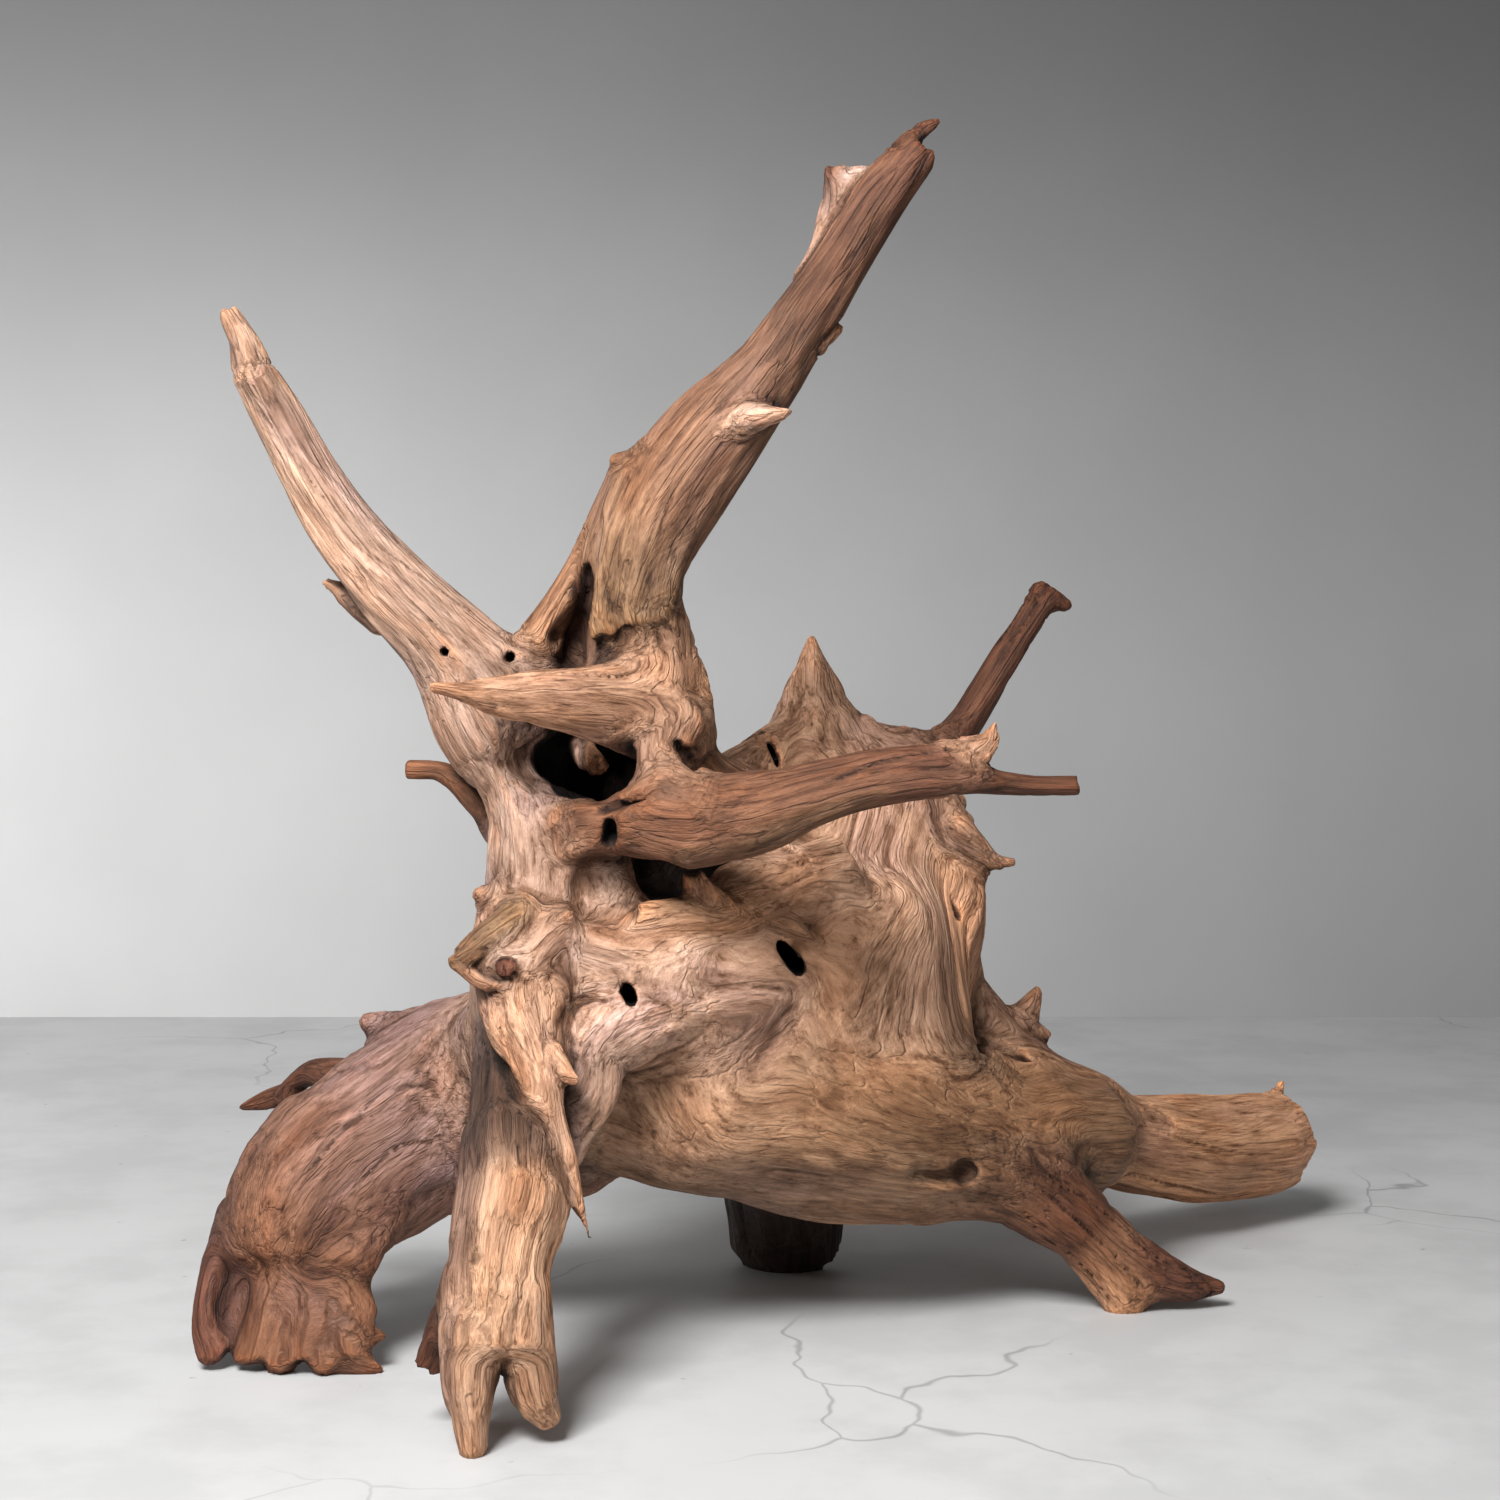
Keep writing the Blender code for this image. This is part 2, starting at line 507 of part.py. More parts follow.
def main():
    for obj in list(bpy.context.scene.objects):
        bpy.data.objects.remove(obj)
    limbs = (trunk() + left_branch() + right_branch() + cross_pieces() + rim_roots() + front_leg()
             + left_foot() + right_legs() + hollows())
    grid, low = grid_of(limbs)
    points, faces = surface_of(untangled(grid), low)
    points = weathered(points, faces, limbs) - np.array(MIDDLE)
    mesh = bpy.data.meshes.new("driftwood")
    mesh.from_pydata(points.tolist(), [], faces.tolist())
    largest_part(mesh)
    obj = bpy.data.objects.new("driftwood", mesh)
    bpy.context.scene.collection.objects.link(obj)
    thinned(obj, TRIANGLES)
    settle(obj.data)
    obj.data.materials.append(wood_material())
    for polygon in obj.data.polygons:
        polygon.use_smooth = True


main()
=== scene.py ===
"""A weathered driftwood root on a plain floor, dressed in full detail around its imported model.

The wood is a set of tapering limbs that flow into each other, less a few rotted hollows. Its surface
is found on a fine grid, ridged and cracked along the fibres, and thinned. Lengths are metres, +Z is up
and the viewer stands at -Y.
"""

import bmesh
import bpy
import numpy as np
from bpy.props import FloatProperty, FloatVectorProperty, IntProperty, PointerProperty
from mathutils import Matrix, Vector


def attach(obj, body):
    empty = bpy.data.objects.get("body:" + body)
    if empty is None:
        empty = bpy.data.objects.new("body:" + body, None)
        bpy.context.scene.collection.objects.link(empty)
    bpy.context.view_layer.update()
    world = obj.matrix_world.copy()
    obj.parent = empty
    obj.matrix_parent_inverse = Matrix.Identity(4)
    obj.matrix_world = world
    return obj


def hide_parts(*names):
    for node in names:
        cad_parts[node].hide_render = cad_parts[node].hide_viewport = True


bl_info = {
    "name": "Driftwood Root",
    "version": (1, 0, 0),
    "blender": (4, 5, 0),
    "location": "View3D > Sidebar > Driftwood",
    "description": "Grows a weathered driftwood root from tapering limbs and sets it on a plain floor",
    "category": "Add Mesh",
}

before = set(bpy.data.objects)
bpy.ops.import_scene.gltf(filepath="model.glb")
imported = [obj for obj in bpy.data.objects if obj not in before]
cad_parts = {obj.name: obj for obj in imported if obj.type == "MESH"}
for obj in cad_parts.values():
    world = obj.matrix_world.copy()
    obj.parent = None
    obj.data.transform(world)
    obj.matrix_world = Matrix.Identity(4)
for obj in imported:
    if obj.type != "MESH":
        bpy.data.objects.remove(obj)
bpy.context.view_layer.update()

MIDDLE = np.array([0.069, 0.1027, 0.0])   # where the limbs' own frame has the middle of the piece
COARSE = 4             # steps between the points of the first, rough grid
ALONG = 0.09           # how much slower the ridges change along the fibres than across them
REACH = 0.06           # how far from a limb its distance is worked out on the rough grid
FINE_REACH = 0.03      # the same on the fine grid, which lies close to the surface
FAR = 0.08             # distance taken where no limb is near
MARGIN = 0.03          # room between the limbs and the edge of the grid
RIM_WAVE = 0.0035      # how far the rims of the hollows wander
FULL_GIRTH = 0.045     # from this half thickness on, ridges and swells have their full height
SOLE = 0.0025          # what ends lower than this stands flat on the floor
UP = (0, 0, 1)

# How far in front of the surface the wood is felt for to find a crevice, and what each step counts for.
CREVICE_STEPS = ((0.008, 0.3), (0.02, 0.35), (0.045, 0.35))

# The studio: half its width, the top of its wall, the light of the room, and the lens of the camera.
HALF_ROOM, WALL_TOP = 9.0, 6.0
ROOM_GREY, ROOM_LIGHT = (0.9, 0.9, 0.9, 1), 0.055
LENS, SENSOR, FRAME_SHIFT = 60.0, 36.0, -110 / 1500

# Each soft light: its name, its place, what it is aimed at, its side, and its share of the key power. None
# stands for the wall.
LIGHTS = (
    ("key_light", (-0.9, -2.2, 2.4), (0, 0, 0.35), 1.0, 1.90),
    ("top_light", (-1.1, -1.0, 2.6), (0, 0, 0.2), 1.0, 0.20),
    ("fill_light", (1.5, -2.5, 1.9), (0, 0, 0.5), 1.4, 0.12),
    ("wall_light", (-2.3, 0.5, 0.6), (-1.6, None, 0.6), 1.0, 0.20),
)

# Tints of the wood, as linear red, green and blue.
STRAW = (0.56, 0.32, 0.20)            # belly and shield
SAND = (0.70, 0.45, 0.33)             # fold and column
BLUSH = (0.53, 0.33, 0.225)           # left branch
HONEY = (0.60, 0.335, 0.205)          # spike and splinter
AMBER = (0.56, 0.325, 0.20)           # front leg
DUN = (0.41, 0.255, 0.185)            # where the left branch leaves the column
CHESTNUT = (0.39, 0.205, 0.115)       # tall branch
COPPER = (0.235, 0.102, 0.05)         # long bar
FAWN = (0.40, 0.22, 0.135)            # snout and rim
TAWNY = (0.76, 0.40, 0.215)           # log
PLUM = (0.36, 0.215, 0.18)            # left foot
UMBER = (0.145, 0.054, 0.025)         # right leg, thin branch and branch tips
# The back leg is painted near black: painted shade under the belly.
SHADE_BLACK = (0.05, 0.032, 0.024)           # back leg
# The top of the front leg is dark wood and painted shade under the snout.
BURNT_AND_SHADED = (0.085, 0.044, 0.027)         # top of the front leg
# The paler lower end of the front leg is painted light on the toes.
PALE_AMBER = (0.70, 0.41, 0.25)       # lower end of the front leg
OLIVE = (0.29, 0.165, 0.085)          # horn of the snout, flap of the tall branch, underside of the bar
RUST = (0.17, 0.066, 0.04)            # scoop of the left foot
RUSSET = (0.255, 0.108, 0.053)        # ankle and fan of the left foot
ASH = (0.33, 0.27, 0.24)              # floor of the grey dish
# The underside of the belly is tinted darker than the belly above it: painted shade.
TOAST = (0.33, 0.185, 0.10)           # underside of the belly


def smooth_route(stops, per_span):
    """Points along a smooth curve through the stops."""
    p = np.asarray(stops, float)
    p = np.vstack([2 * p[0] - p[1], p, 2 * p[-1] - p[-2]])
    t = np.linspace(0, 1, per_span, endpoint=False)[:, None]
    spans = []
    for a, b, c, d in zip(p[:-3], p[1:-2], p[2:-1], p[3:]):
        spans.append(0.5 * (2 * b + (c - a) * t + (2 * a - 5 * b + 4 * c - d) * t ** 2
                            + (3 * b - a - 3 * c + d) * t ** 3))
    return np.vstack(spans + [p[-2][None]])


def unit(v):
    """The same directions at length one."""
    return v / np.maximum(np.linalg.norm(v, axis=1), 1e-9)[:, None]


class Limb:
    """A tapering stem along a smooth route. A stop is x, y, z, half width and half thickness.

    Ragged is how deep the splinters of its broken end go, and dark how black a carved hollow is. The
    tint turns into the end tint along it.
    """

    # dark is painted shade: how black a carved hollow is painted, deeper inside it.
    def __init__(self, stops, wide=(1, 0, 0), blend=0.03, cap=1.0, spans=4, ragged=0.0, carve=False,
                 dark=1.0, tint=None, end_tint=None):
        path = smooth_route([s if len(s) == 5 else s + (s[3],) for s in stops], spans)
        self.blend, self.cap, self.ragged, self.carve, self.dark = blend, cap, ragged, carve, dark
        self.tint, self.end_tint = tint, end_tint
        self.centre = path[:, :3]
        self.half_width = np.maximum(path[:, 3], 0.002)
        self.half_thickness = np.maximum(path[:, 4], 0.002)
        self.along = unit(np.gradient(self.centre, axis=0))
        self.across = self.width_axis(np.asarray(wide, float), spans)
        steps = np.linalg.norm(np.diff(self.centre, axis=0), axis=1)
        self.length = np.concatenate([[0], np.cumsum(steps)])
        radius = np.maximum(self.half_width, self.half_thickness)[:, None]
        self.low = (self.centre - radius).min(0)
        self.high = (self.centre + radius).max(0)

    def width_axis(self, wide, spans):
        """The direction of the width at each point, square to the route."""
        wide = np.repeat(wide[None], len(self.along), 0) if wide.ndim == 1 else smooth_route(wide, spans)
        axis = wide - (wide * self.along).sum(1)[:, None] * self.along
        spare = np.array([0.3, 1.0, 0.2])
        spare = spare - (self.along @ spare)[:, None] * self.along
        return unit(np.where((np.linalg.norm(axis, axis=1) < 0.3)[:, None], spare, axis))

    def near(self, points, reach):
        """Whether each point lies in the limb's box, made wider by this reach."""
        return np.all((points > self.low - reach) & (points < self.high + reach), axis=1)

    def nearest(self, points):
        """For each point, the nearest segment of the route and the share of the way along it."""
        stop = ((self.centre ** 2).sum(1) - 2 * points @ self.centre.T).argmin(1)
        best, segment, share = np.full(len(points), np.inf), stop * 0, np.zeros(len(points))
        for back in (1, 0):
            k = np.clip(stop - back, 0, len(self.centre) - 2)
            a = self.centre[k]
            d = self.centre[k + 1] - a
            w = points - a
            t = np.clip((w * d).sum(1) / (d * d).sum(1), 0, 1)
            gap = ((w - t[:, None] * d) ** 2).sum(1)
            closer = gap < best
            best[closer], segment[closer], share[closer] = gap[closer], k[closer], t[closer]
        return segment, share

    def measure(self, points):
        """Distance to the limb, offset from its middle line, way along it, and its thickness there."""
        segment, share = self.nearest(points)

        def mixed(values):
            t = share if values.ndim == 1 else share[:, None]
            return values[segment] * (1 - t) + values[segment + 1] * t

        a, b = mixed(self.half_width), mixed(self.half_thickness)
        along = unit(mixed(self.along))
        across = mixed(self.across)
        across = unit(across - (across * along).sum(1)[:, None] * along)
        d = points - mixed(self.centre)
        du, dw = (d * across).sum(1), (d * along).sum(1)
        dv = np.sqrt(np.maximum((d * d).sum(1) - du ** 2 - dw ** 2, 0))
        thin = np.minimum(a, b)
        end = thin * self.cap
        k0 = np.sqrt((du / a) ** 2 + (dv / b) ** 2 + (dw / end) ** 2)
        k1 = np.sqrt((du / a ** 2) ** 2 + (dv / b ** 2) ** 2 + (dw / end ** 2) ** 2)
        distance = np.maximum(np.where(k1 > 1e-9, k0 * (k0 - 1) / np.maximum(k1, 1e-9), -thin), -thin)
        offset, way = d - dw[:, None] * along, mixed(self.length) + dw
        if self.carve:
            wave = RIM_WAVE * (noise(points * 55, 11) + 0.5 * noise(points * 120, 12))
            distance += wave * np.minimum(thin / 0.02, 1)
        if self.ragged:
            splinter = self.ragged * (0.5 + 0.5 * noise(offset * 130, 13) + 0.5 * noise(offset * 50, 14))
            distance = np.maximum(distance, (way - self.length[-1] + splinter) * 0.6)
        return distance, offset, way, thin


def tinted(tint, limbs):
    """Give the limbs that have no tint of their own this one."""
    for limb in limbs:
        limb.tint = limb.tint or tint
    return limbs


def smooth_min(a, b, k):
    """The lower of two distances, rounded where they differ by less than k."""
    h = np.maximum(k - np.abs(a - b), 0) / k
    return np.minimum(a, b) - h * h * k / 4


def distance_to_wood(points, limbs, reach=REACH):
    """Distance from each point to the wood, below zero inside it. Carving limbs are taken away."""
    out = np.full(len(points), FAR)
    for limb in limbs:
        near = limb.near(points, reach + limb.blend)
        if near.any():
            d = limb.measure(points[near])[0]
            if limb.carve:
                out[near] = -smooth_min(-out[near], d, limb.blend)
            else:
                out[near] = smooth_min(out[near], d, limb.blend)
    return np.maximum(out, -points[:, 2])


def fibre_frame(points, limbs):
    """For each point: its offset from the limb's middle line, its way along, its tint and its thickness."""
    frame_rows = np.zeros((len(points), 8))
    out = np.full(len(points), FAR)
    for limb in limbs:
        near = limb.near(points, 0.03 + 1.2 * limb.blend)
        if limb.carve or not near.any():
            continue
        d, offset, along, thin = limb.measure(points[near])
        share = np.clip(0.5 + 0.5 * (out[near] - d) / (1.2 * limb.blend), 0, 1)
        share = (share * share * (3 - 2 * share))[:, None]
        end = np.clip(along / limb.length[-1], 0, 1)[:, None]
        tint = np.array(limb.tint) * (1 - end) + np.array(limb.end_tint or limb.tint) * end
        own = np.column_stack([offset, along, tint, thin])
        frame_rows[near] = frame_rows[near] * (1 - share) + own * share
        out[near] = smooth_min(out[near], d, limb.blend * 1.2)
    return frame_rows


def hollow_darkness(points, limbs):
    """How black each point is painted, as shade, from 0 to 1: it grows with the depth below the wood that
    was there.
    """
    carved = [limb for limb in limbs if limb.carve]
    shade = np.zeros(len(points))
    for limb in carved:
        near = limb.near(points, 0.03)
        if near.any():
            d = limb.measure(points[near])[0]
            shade[near] = np.maximum(shade[near], limb.dark * np.clip(1 - (d - 0.002) / 0.008, 0, 1))
    depth = -distance_to_wood(points, [limb for limb in limbs if not limb.carve])
    return shade * np.clip((depth - 0.002) / 0.014, 0, 1) ** 0.7


def in_pieces(function, points, *rest):
    """Work through many points a part at a time."""
    parts = np.array_split(points, max(1, len(points) // 60000))
    return np.concatenate([function(part, *rest) for part in parts])


CORNERS = [(x, y, z) for z in (0, 1) for y in (0, 1) for x in (0, 1)]


def grid_of(limbs, voxel):
    """Distances on a grid of this step, exact near the surface and only a sign elsewhere."""
    low = np.min([limb.low for limb in limbs if not limb.carve], 0) - MARGIN
    high = np.max([limb.high for limb in limbs if not limb.carve], 0) + MARGIN
    low[2] = voxel * (np.floor(low[2] / voxel) - 0.5)
    step = voxel * COARSE
    rough_size = np.ceil((high - low) / step).astype(int) + 1
    axes = [low[i] + step * np.arange(rough_size[i]) for i in range(3)]
    points = np.stack(np.meshgrid(*axes, indexing="ij"), -1).reshape(-1, 3)
    rough = in_pieces(distance_to_wood, points, limbs).reshape(rough_size)
    size = (rough_size - 1) * COARSE + 1
    nearest = [np.minimum((np.arange(n) + COARSE // 2) // COARSE, m - 1) for n, m in zip(size, rough_size)]
    grid = np.where(rough[np.ix_(*nearest)] < 0, -1.0, 1.0)
    close = np.abs(rough) < step * 1.8
    x, y, z = rough_size - 1
    cells = np.zeros(rough_size - 1, bool)
    for i, j, k in CORNERS:
        cells |= close[i:x + i, j:y + j, k:z + k]
    marked = np.zeros(size, bool)
    corner = np.argwhere(cells) * COARSE
    for offset in np.argwhere(np.ones((COARSE + 1,) * 3, bool)):
        marked[tuple((corner + offset).T)] = True
    points = np.argwhere(marked)
    grid[marked] = in_pieces(distance_to_wood, low + voxel * points, limbs, FINE_REACH)
    return grid, low


def joined(corners):
    """Whether these corners of a cell hang together along its edges."""
    if not corners:
        return True
    found, fresh = set(), [corners[0]]
    while fresh:
        corner = fresh.pop()
        found.add(corner)
        fresh += [c for c in corners if c not in found and sum(abs(p - q) for p, q in zip(c, corner)) == 1]
    return len(found) == len(corners)


def untangled(grid, voxel):
    """Fill in the corners of cells that the surface would cross in two separate sheets."""
    tangled = np.zeros(256, bool)
    for code in range(256):
        inner = [c for i, c in enumerate(CORNERS) if code >> i & 1]
        tangled[code] = not (joined(inner) and joined([c for c in CORNERS if c not in inner]))
    x, y, z = np.array(grid.shape) - 1
    for _ in range(30):
        inside = grid < 0
        code = sum(inside[i:x + i, j:y + j, k:z + k].astype(int) << n
                   for n, (i, j, k) in enumerate(CORNERS))
        cells = np.argwhere(tangled[code])
        if not len(cells):
            break
        values = np.stack([grid[tuple((cells + c).T)] for c in CORNERS], 1)
        pick = np.where(values < 0, np.inf, values).argmin(1)
        grid[tuple((cells + np.array(CORNERS)[pick]).T)] = -0.1 * voxel
    return grid


def surface_points(grid, low, voxel, cells):
    """One point in each cell that the surface crosses: the mean of the crossings on its edges."""
    total, hits = np.zeros((len(cells), 3)), np.zeros(len(cells))
    for i, a in enumerate(CORNERS):
        for b in CORNERS[i + 1:]:
            if sum(abs(p - q) for p, q in zip(a, b)) == 1:
                fa = grid[tuple((cells + a).T)]
                fb = grid[tuple((cells + b).T)]
                cut = (fa < 0) != (fb < 0)
                t = np.where(cut, fa / np.where(cut, fa - fb, 1), 0)[:, None]
                total += (np.array(a) * (1 - t) + np.array(b) * t) * cut[:, None]
                hits += cut
    return low + voxel * (cells + total / hits[:, None])


def surface_of(grid, low, voxel):
    """Points and four-cornered faces of the surface at distance zero."""
    inside = grid < 0
    x, y, z = np.array(grid.shape) - 1
    count = sum(inside[i:x + i, j:y + j, k:z + k].astype(np.int8) for i, j, k in CORNERS)
    crossed = (count > 0) & (count < 8)
    cells = np.argwhere(crossed)
    index = np.full(crossed.shape, -1)
    index[crossed] = np.arange(len(cells))
    faces = []
    for axis in range(3):
        first, second = (axis + 1) % 3, (axis + 2) % 3
        here = np.moveaxis(inside, axis, 0)[:-1]
        there = np.moveaxis(inside, axis, 0)[1:]
        for outward, where in ((True, here & ~there), (False, ~here & there)):
            edges = np.argwhere(np.moveaxis(where, 0, axis))
            edges = edges[(edges[:, first] > 0) & (edges[:, second] > 0)]
            ring = []
            for back in ((0, 0), (1, 0), (1, 1), (0, 1)):
                cell = edges.copy()
                cell[:, first] -= back[0]
                cell[:, second] -= back[1]
                ring.append(index[tuple(cell.T)])
            ring = np.stack(ring, 1)
            faces.append(ring if outward else ring[:, ::-1])
    return surface_points(grid, low, voxel, cells), np.vstack(faces)


def scatter(cell, seed):
    """A fixed but patternless value, from -1 to 1, for each cell of a lattice."""
    x, y, z = cell.T
    h = (x * 374761393 + y * 668265263 + z * 2147483647 + seed * 144665) & 0xFFFFFFFF
    h = ((h ^ (h >> 13)) * 1274126177) & 0xFFFFFFFF
    h = ((h ^ (h >> 16)) * 2246822519) & 0xFFFFFFFF
    return ((h ^ (h >> 15)) & 0xFFFF) / 32767.5 - 1


def noise(points, seed):
    """Smooth noise from -1 to 1."""
    base = np.floor(points).astype(np.int64)
    f = points - base
    ease = f * f * f * (f * (f * 6 - 15) + 10)
    total = 0
    for corner in CORNERS:
        weight = np.where(np.array(corner) > 0, ease, 1 - ease).prod(1)
        total = total + weight * scatter(base + np.array(corner), seed)
    return total


def normals_of(points, faces):
    """Outward direction at each point."""
    across = np.cross(points[faces[:, 2]] - points[faces[:, 0]], points[faces[:, 3]] - points[faces[:, 1]])
    total = np.zeros_like(points)
    for k in range(4):
        np.add.at(total, faces[:, k], across)
    return unit(total)


def fibre_space(rows):
    """Space in which noise makes ridges that run along the fibres."""
    return rows[:, :3] + ALONG * rows[:, 3:4]


def groove(space, seed):
    """Round ridges with sharp valleys between them, from -1 to 1."""
    return 2 * np.minimum(np.abs(noise(space, seed)) * 2.2, 1) - 1


def cracked(rows, points):
    """Depth of the drying cracks: thin lines along the fibres, only here and there."""
    space = rows[:, :3] + 0.03 * rows[:, 3:4]
    line = 1 - np.abs(noise(space * 42 + 7.3, 8)) / 0.06
    here = np.clip(noise(points * 9 + 3.1, 9) * 2.4 - 0.45, 0, 1)
    slim = np.clip((0.075 - rows[:, 7]) / 0.03, 0.1, 1)
    return np.clip(line, 0, 1) * (here * slim)


def weathered(points, faces, limbs, wood):
    """Raise ridges along the fibres and slow swells, and open cracks, fading towards the floor."""
    rows = in_pieces(fibre_frame, points, limbs)
    space = fibre_space(rows)
    full = np.clip(rows[:, 7] / FULL_GIRTH, 0.25, 1)
    height = full * (wood.ridge_height * noise(space * 34, 1) + wood.swell_height * noise(points * 14, 3))
    height += wood.fine_ridge_height * groove(space * 62, 2)
    height += wood.fibre_height * noise(space * 115, 4)
    height -= wood.crack_depth * cracked(rows, points)
    fade = np.clip((points[:, 2] - 0.004) / 0.016, 0, 1)
    return points + normals_of(points, faces) * (height * fade)[:, None]


def trunk():
    """The thick middle: a column rising from the belly, and a wide shield leaning back to the right."""
    return tinted(STRAW, [
        Limb([(-.10, .08, .30, .10, .09), (-.07, .12, .38, .10, .075), (-.07, .12, .44, .08, .06)],
             blend=.05),
        Limb([(-.15, .02, .36, .07, .07), (-.145, .035, .48, .08, .055), (-.155, .02, .56, .070, .045),
              (-.145, .0, .63, .045, .035), (-.125, -.02, .70, .022, .02)], blend=.05),
        # The underside of the belly, tinted darker: painted shade.
        Limb([(-.17, .04, .235, .083, .08), (-.09, .02, .227, .083, .09), (.018, .03, .209, .081, .095),
              (.12, .07, .179, .077, .09), (.22, .13, .157, .068, .07), (.31, .21, .14, .055, .055)],
             wide=UP, blend=.06, tint=TOAST),
        Limb([(-.04, -.010, .285, .060, .050), (.02, .008, .275, .065, .052),
              (.075, .040, .270, .065, .050), (.13, .085, .265, .055, .045)], wide=UP, blend=.05),
        Limb([(.00, .06, .22, .17, .08), (.045, .085, .30, .165, .07), (.08, .14, .385, .15, .052),
              (.105, .205, .46, .13, .038), (.09, .255, .53, .075, .022)], wide=(.9, .35, 0), blend=.06),
        Limb([(-.18, -.03, .36, .06, .06), (-.10, .0, .34, .08, .07), (.0, .05, .32, .10, .06)], wide=UP,
             blend=.06),
        Limb([(-.12, -.05, .330, .055, .045), (-.06, -.04, .345, .065, .045),
              (-.01, -.005, .345, .060, .040), (.03, .028, .337, .058, .034),
              (.075, .058, .335, .058, .035), (.13, .105, .335, .050, .030)], wide=UP, blend=.05),
        Limb([(-.010, -.020, .385, .040, .026), (.035, .010, .400, .040, .026),
              (.075, .060, .405, .045, .026)], wide=UP, blend=.03),
        Limb([(-.175, -.04, .44, .04, .045), (-.140, -.035, .41, .045, .045),
              (-.11, -.03, .37, .045, .045)], wide=UP, blend=.04, tint=SAND),
        Limb([(-.090, -.045, .33, .050, .045), (-.078, -.038, .28, .060, .045),
              (-.060, -.032, .22, .06, .045)], blend=.05),
        Limb([(.16, .20, .36, .05, .03), (.19, .20, .28, .045, .035), (.24, .20, .20, .05, .04)],
             blend=.04),
        Limb([(.06, .25, .525, .03, .022), (.02, .22, .51, .035, .024), (-.02, .16, .485, .04, .03)],
             wide=UP, blend=.03),
        Limb([(-.190, -.02, .25, .055, .07), (-.180, -.05, .345, .045, .065),
              (-.172, -.05, .431, .043, .06), (-.186, -.05, .501, .046, .055),
              (-.213, -.05, .563, .048, .045)], blend=.04, tint=SAND, end_tint=DUN),
    ])


def left_branch():
    """The slimmer branch, leaning out to the left, with a snapped tip and two small spurs."""
    return tinted(BLUSH, [
        Limb([(-.215, -.05, .563, .052, .045), (-.264, -.04, .628, .040, .038),
              (-.318, -.03, .682, .034, .032), (-.363, -.02, .732, .031, .027),
              (-.400, -.01, .788, .027, .023), (-.430, 0, .842, .022, .020),
              (-.451, 0, .880, .0185, .017)], blend=.04, cap=.3, ragged=.012, tint=DUN, end_tint=BLUSH),
        Limb([(-.448, 0, .872, .0165), (-.456, 0, .901, .0135), (-.465, 0, .921, .0105),
              (-.474, 0, .938, .0072)], blend=.004, cap=.4, ragged=.006),
        Limb([(-.345, .0, .668, .016), (-.366, .0, .679, .008), (-.382, .0, .686, .004)], blend=.01),
        Limb([(-.335, .0, .652, .014), (-.355, .0, .664, .007), (-.367, .0, .672, .004)], blend=.01),
    ])


def right_branch():
    """The tall branch, leaning to the right, with broken stubs along it and a split end."""
    return tinted(CHESTNUT, [
        Limb([(-.066, -.03, .541, .035), (-.087, -.045, .599, .038, .036),
              (-.100, -.056, .652, .041, .033), (-.098, -.06, .704, .0425, .034),
              (-.069, -.06, .766, .046, .034), (-.030, -.06, .819, .041, .032),
              (.017, -.055, .874, .0318, .029), (.044, -.05, .915, .0274, .026),
              (.078, -.05, .966, .0239, .025), (.101, -.05, 1.004, .023, .023),
              (.120, -.05, 1.032, .0221, .021), (.142, -.05, 1.058, .0203, .018),
              (.156, -.05, 1.073, .0172, .015)], blend=.03, cap=.3, ragged=.012, end_tint=UMBER),
        Limb([(.137, -.05, 1.070, .0090), (.152, -.05, 1.084, .0075), (.164, -.05, 1.090, .0050)],
             blend=.008, tint=UMBER),
        Limb([(.116, -.038, 1.045, .0125, .013), (.094, -.035, 1.034, .0214, .014),
              (.081, -.035, 1.011, .0196, .014), (.067, -.035, .983, .0151, .014),
              (.050, -.035, .958, .0107, .014)], blend=.008, tint=SAND),
        Limb([(.082, -.035, 1.018, .0120, .013), (.075, -.036, 1.043, .0080, .010),
              (.074, -.037, 1.056, .0082, .010)], blend=.012, cap=.4, ragged=.004, tint=UMBER),
        Limb([(-.026, -.078, .815, .0080), (-.004, -.086, .826, .0110), (.014, -.090, .829, .0090),
              (.028, -.088, .831, .0062), (.034, -.086, .833, .0040)], blend=.010, tint=SAND),
        Limb([(.058, -.05, .895, .010), (.071, -.05, .905, .007), (.078, -.05, .911, .005)], blend=.006,
             cap=.4),
        Limb([(-.084, -.06, .786, .018), (-.106, -.06, .792, .009), (-.117, -.06, .794, .004)], blend=.015),
        Limb([(-.11, -.05, .784, .012), (-.134, -.055, .731, .014), (-.162, -.055, .678, .015),
              (-.186, -.05, .632, .020), (-.21, -.04, .59, .03)], blend=.015),
        Limb([(-.086, -.064, .760, .034, .020), (-.100, -.078, .705, .040, .018),
              (-.107, -.086, .665, .040, .015), (-.103, -.093, .640, .037, .010)], blend=.012, cap=.6,
             ragged=.006, tint=OLIVE),
        Limb([(-.094, -.056, .630, .043, .034), (-.096, -.074, .602, .046, .028),
              (-.098, -.090, .575, .038, .020)], blend=.018, tint=FAWN),
        Limb([(-.080, -.05, .615, .027), (-.062, -.04, .572, .020), (-.043, -.02, .530, .016),
              (-.014, .02, .508, .014), (.02, .08, .49, .02)], blend=.012),
    ])


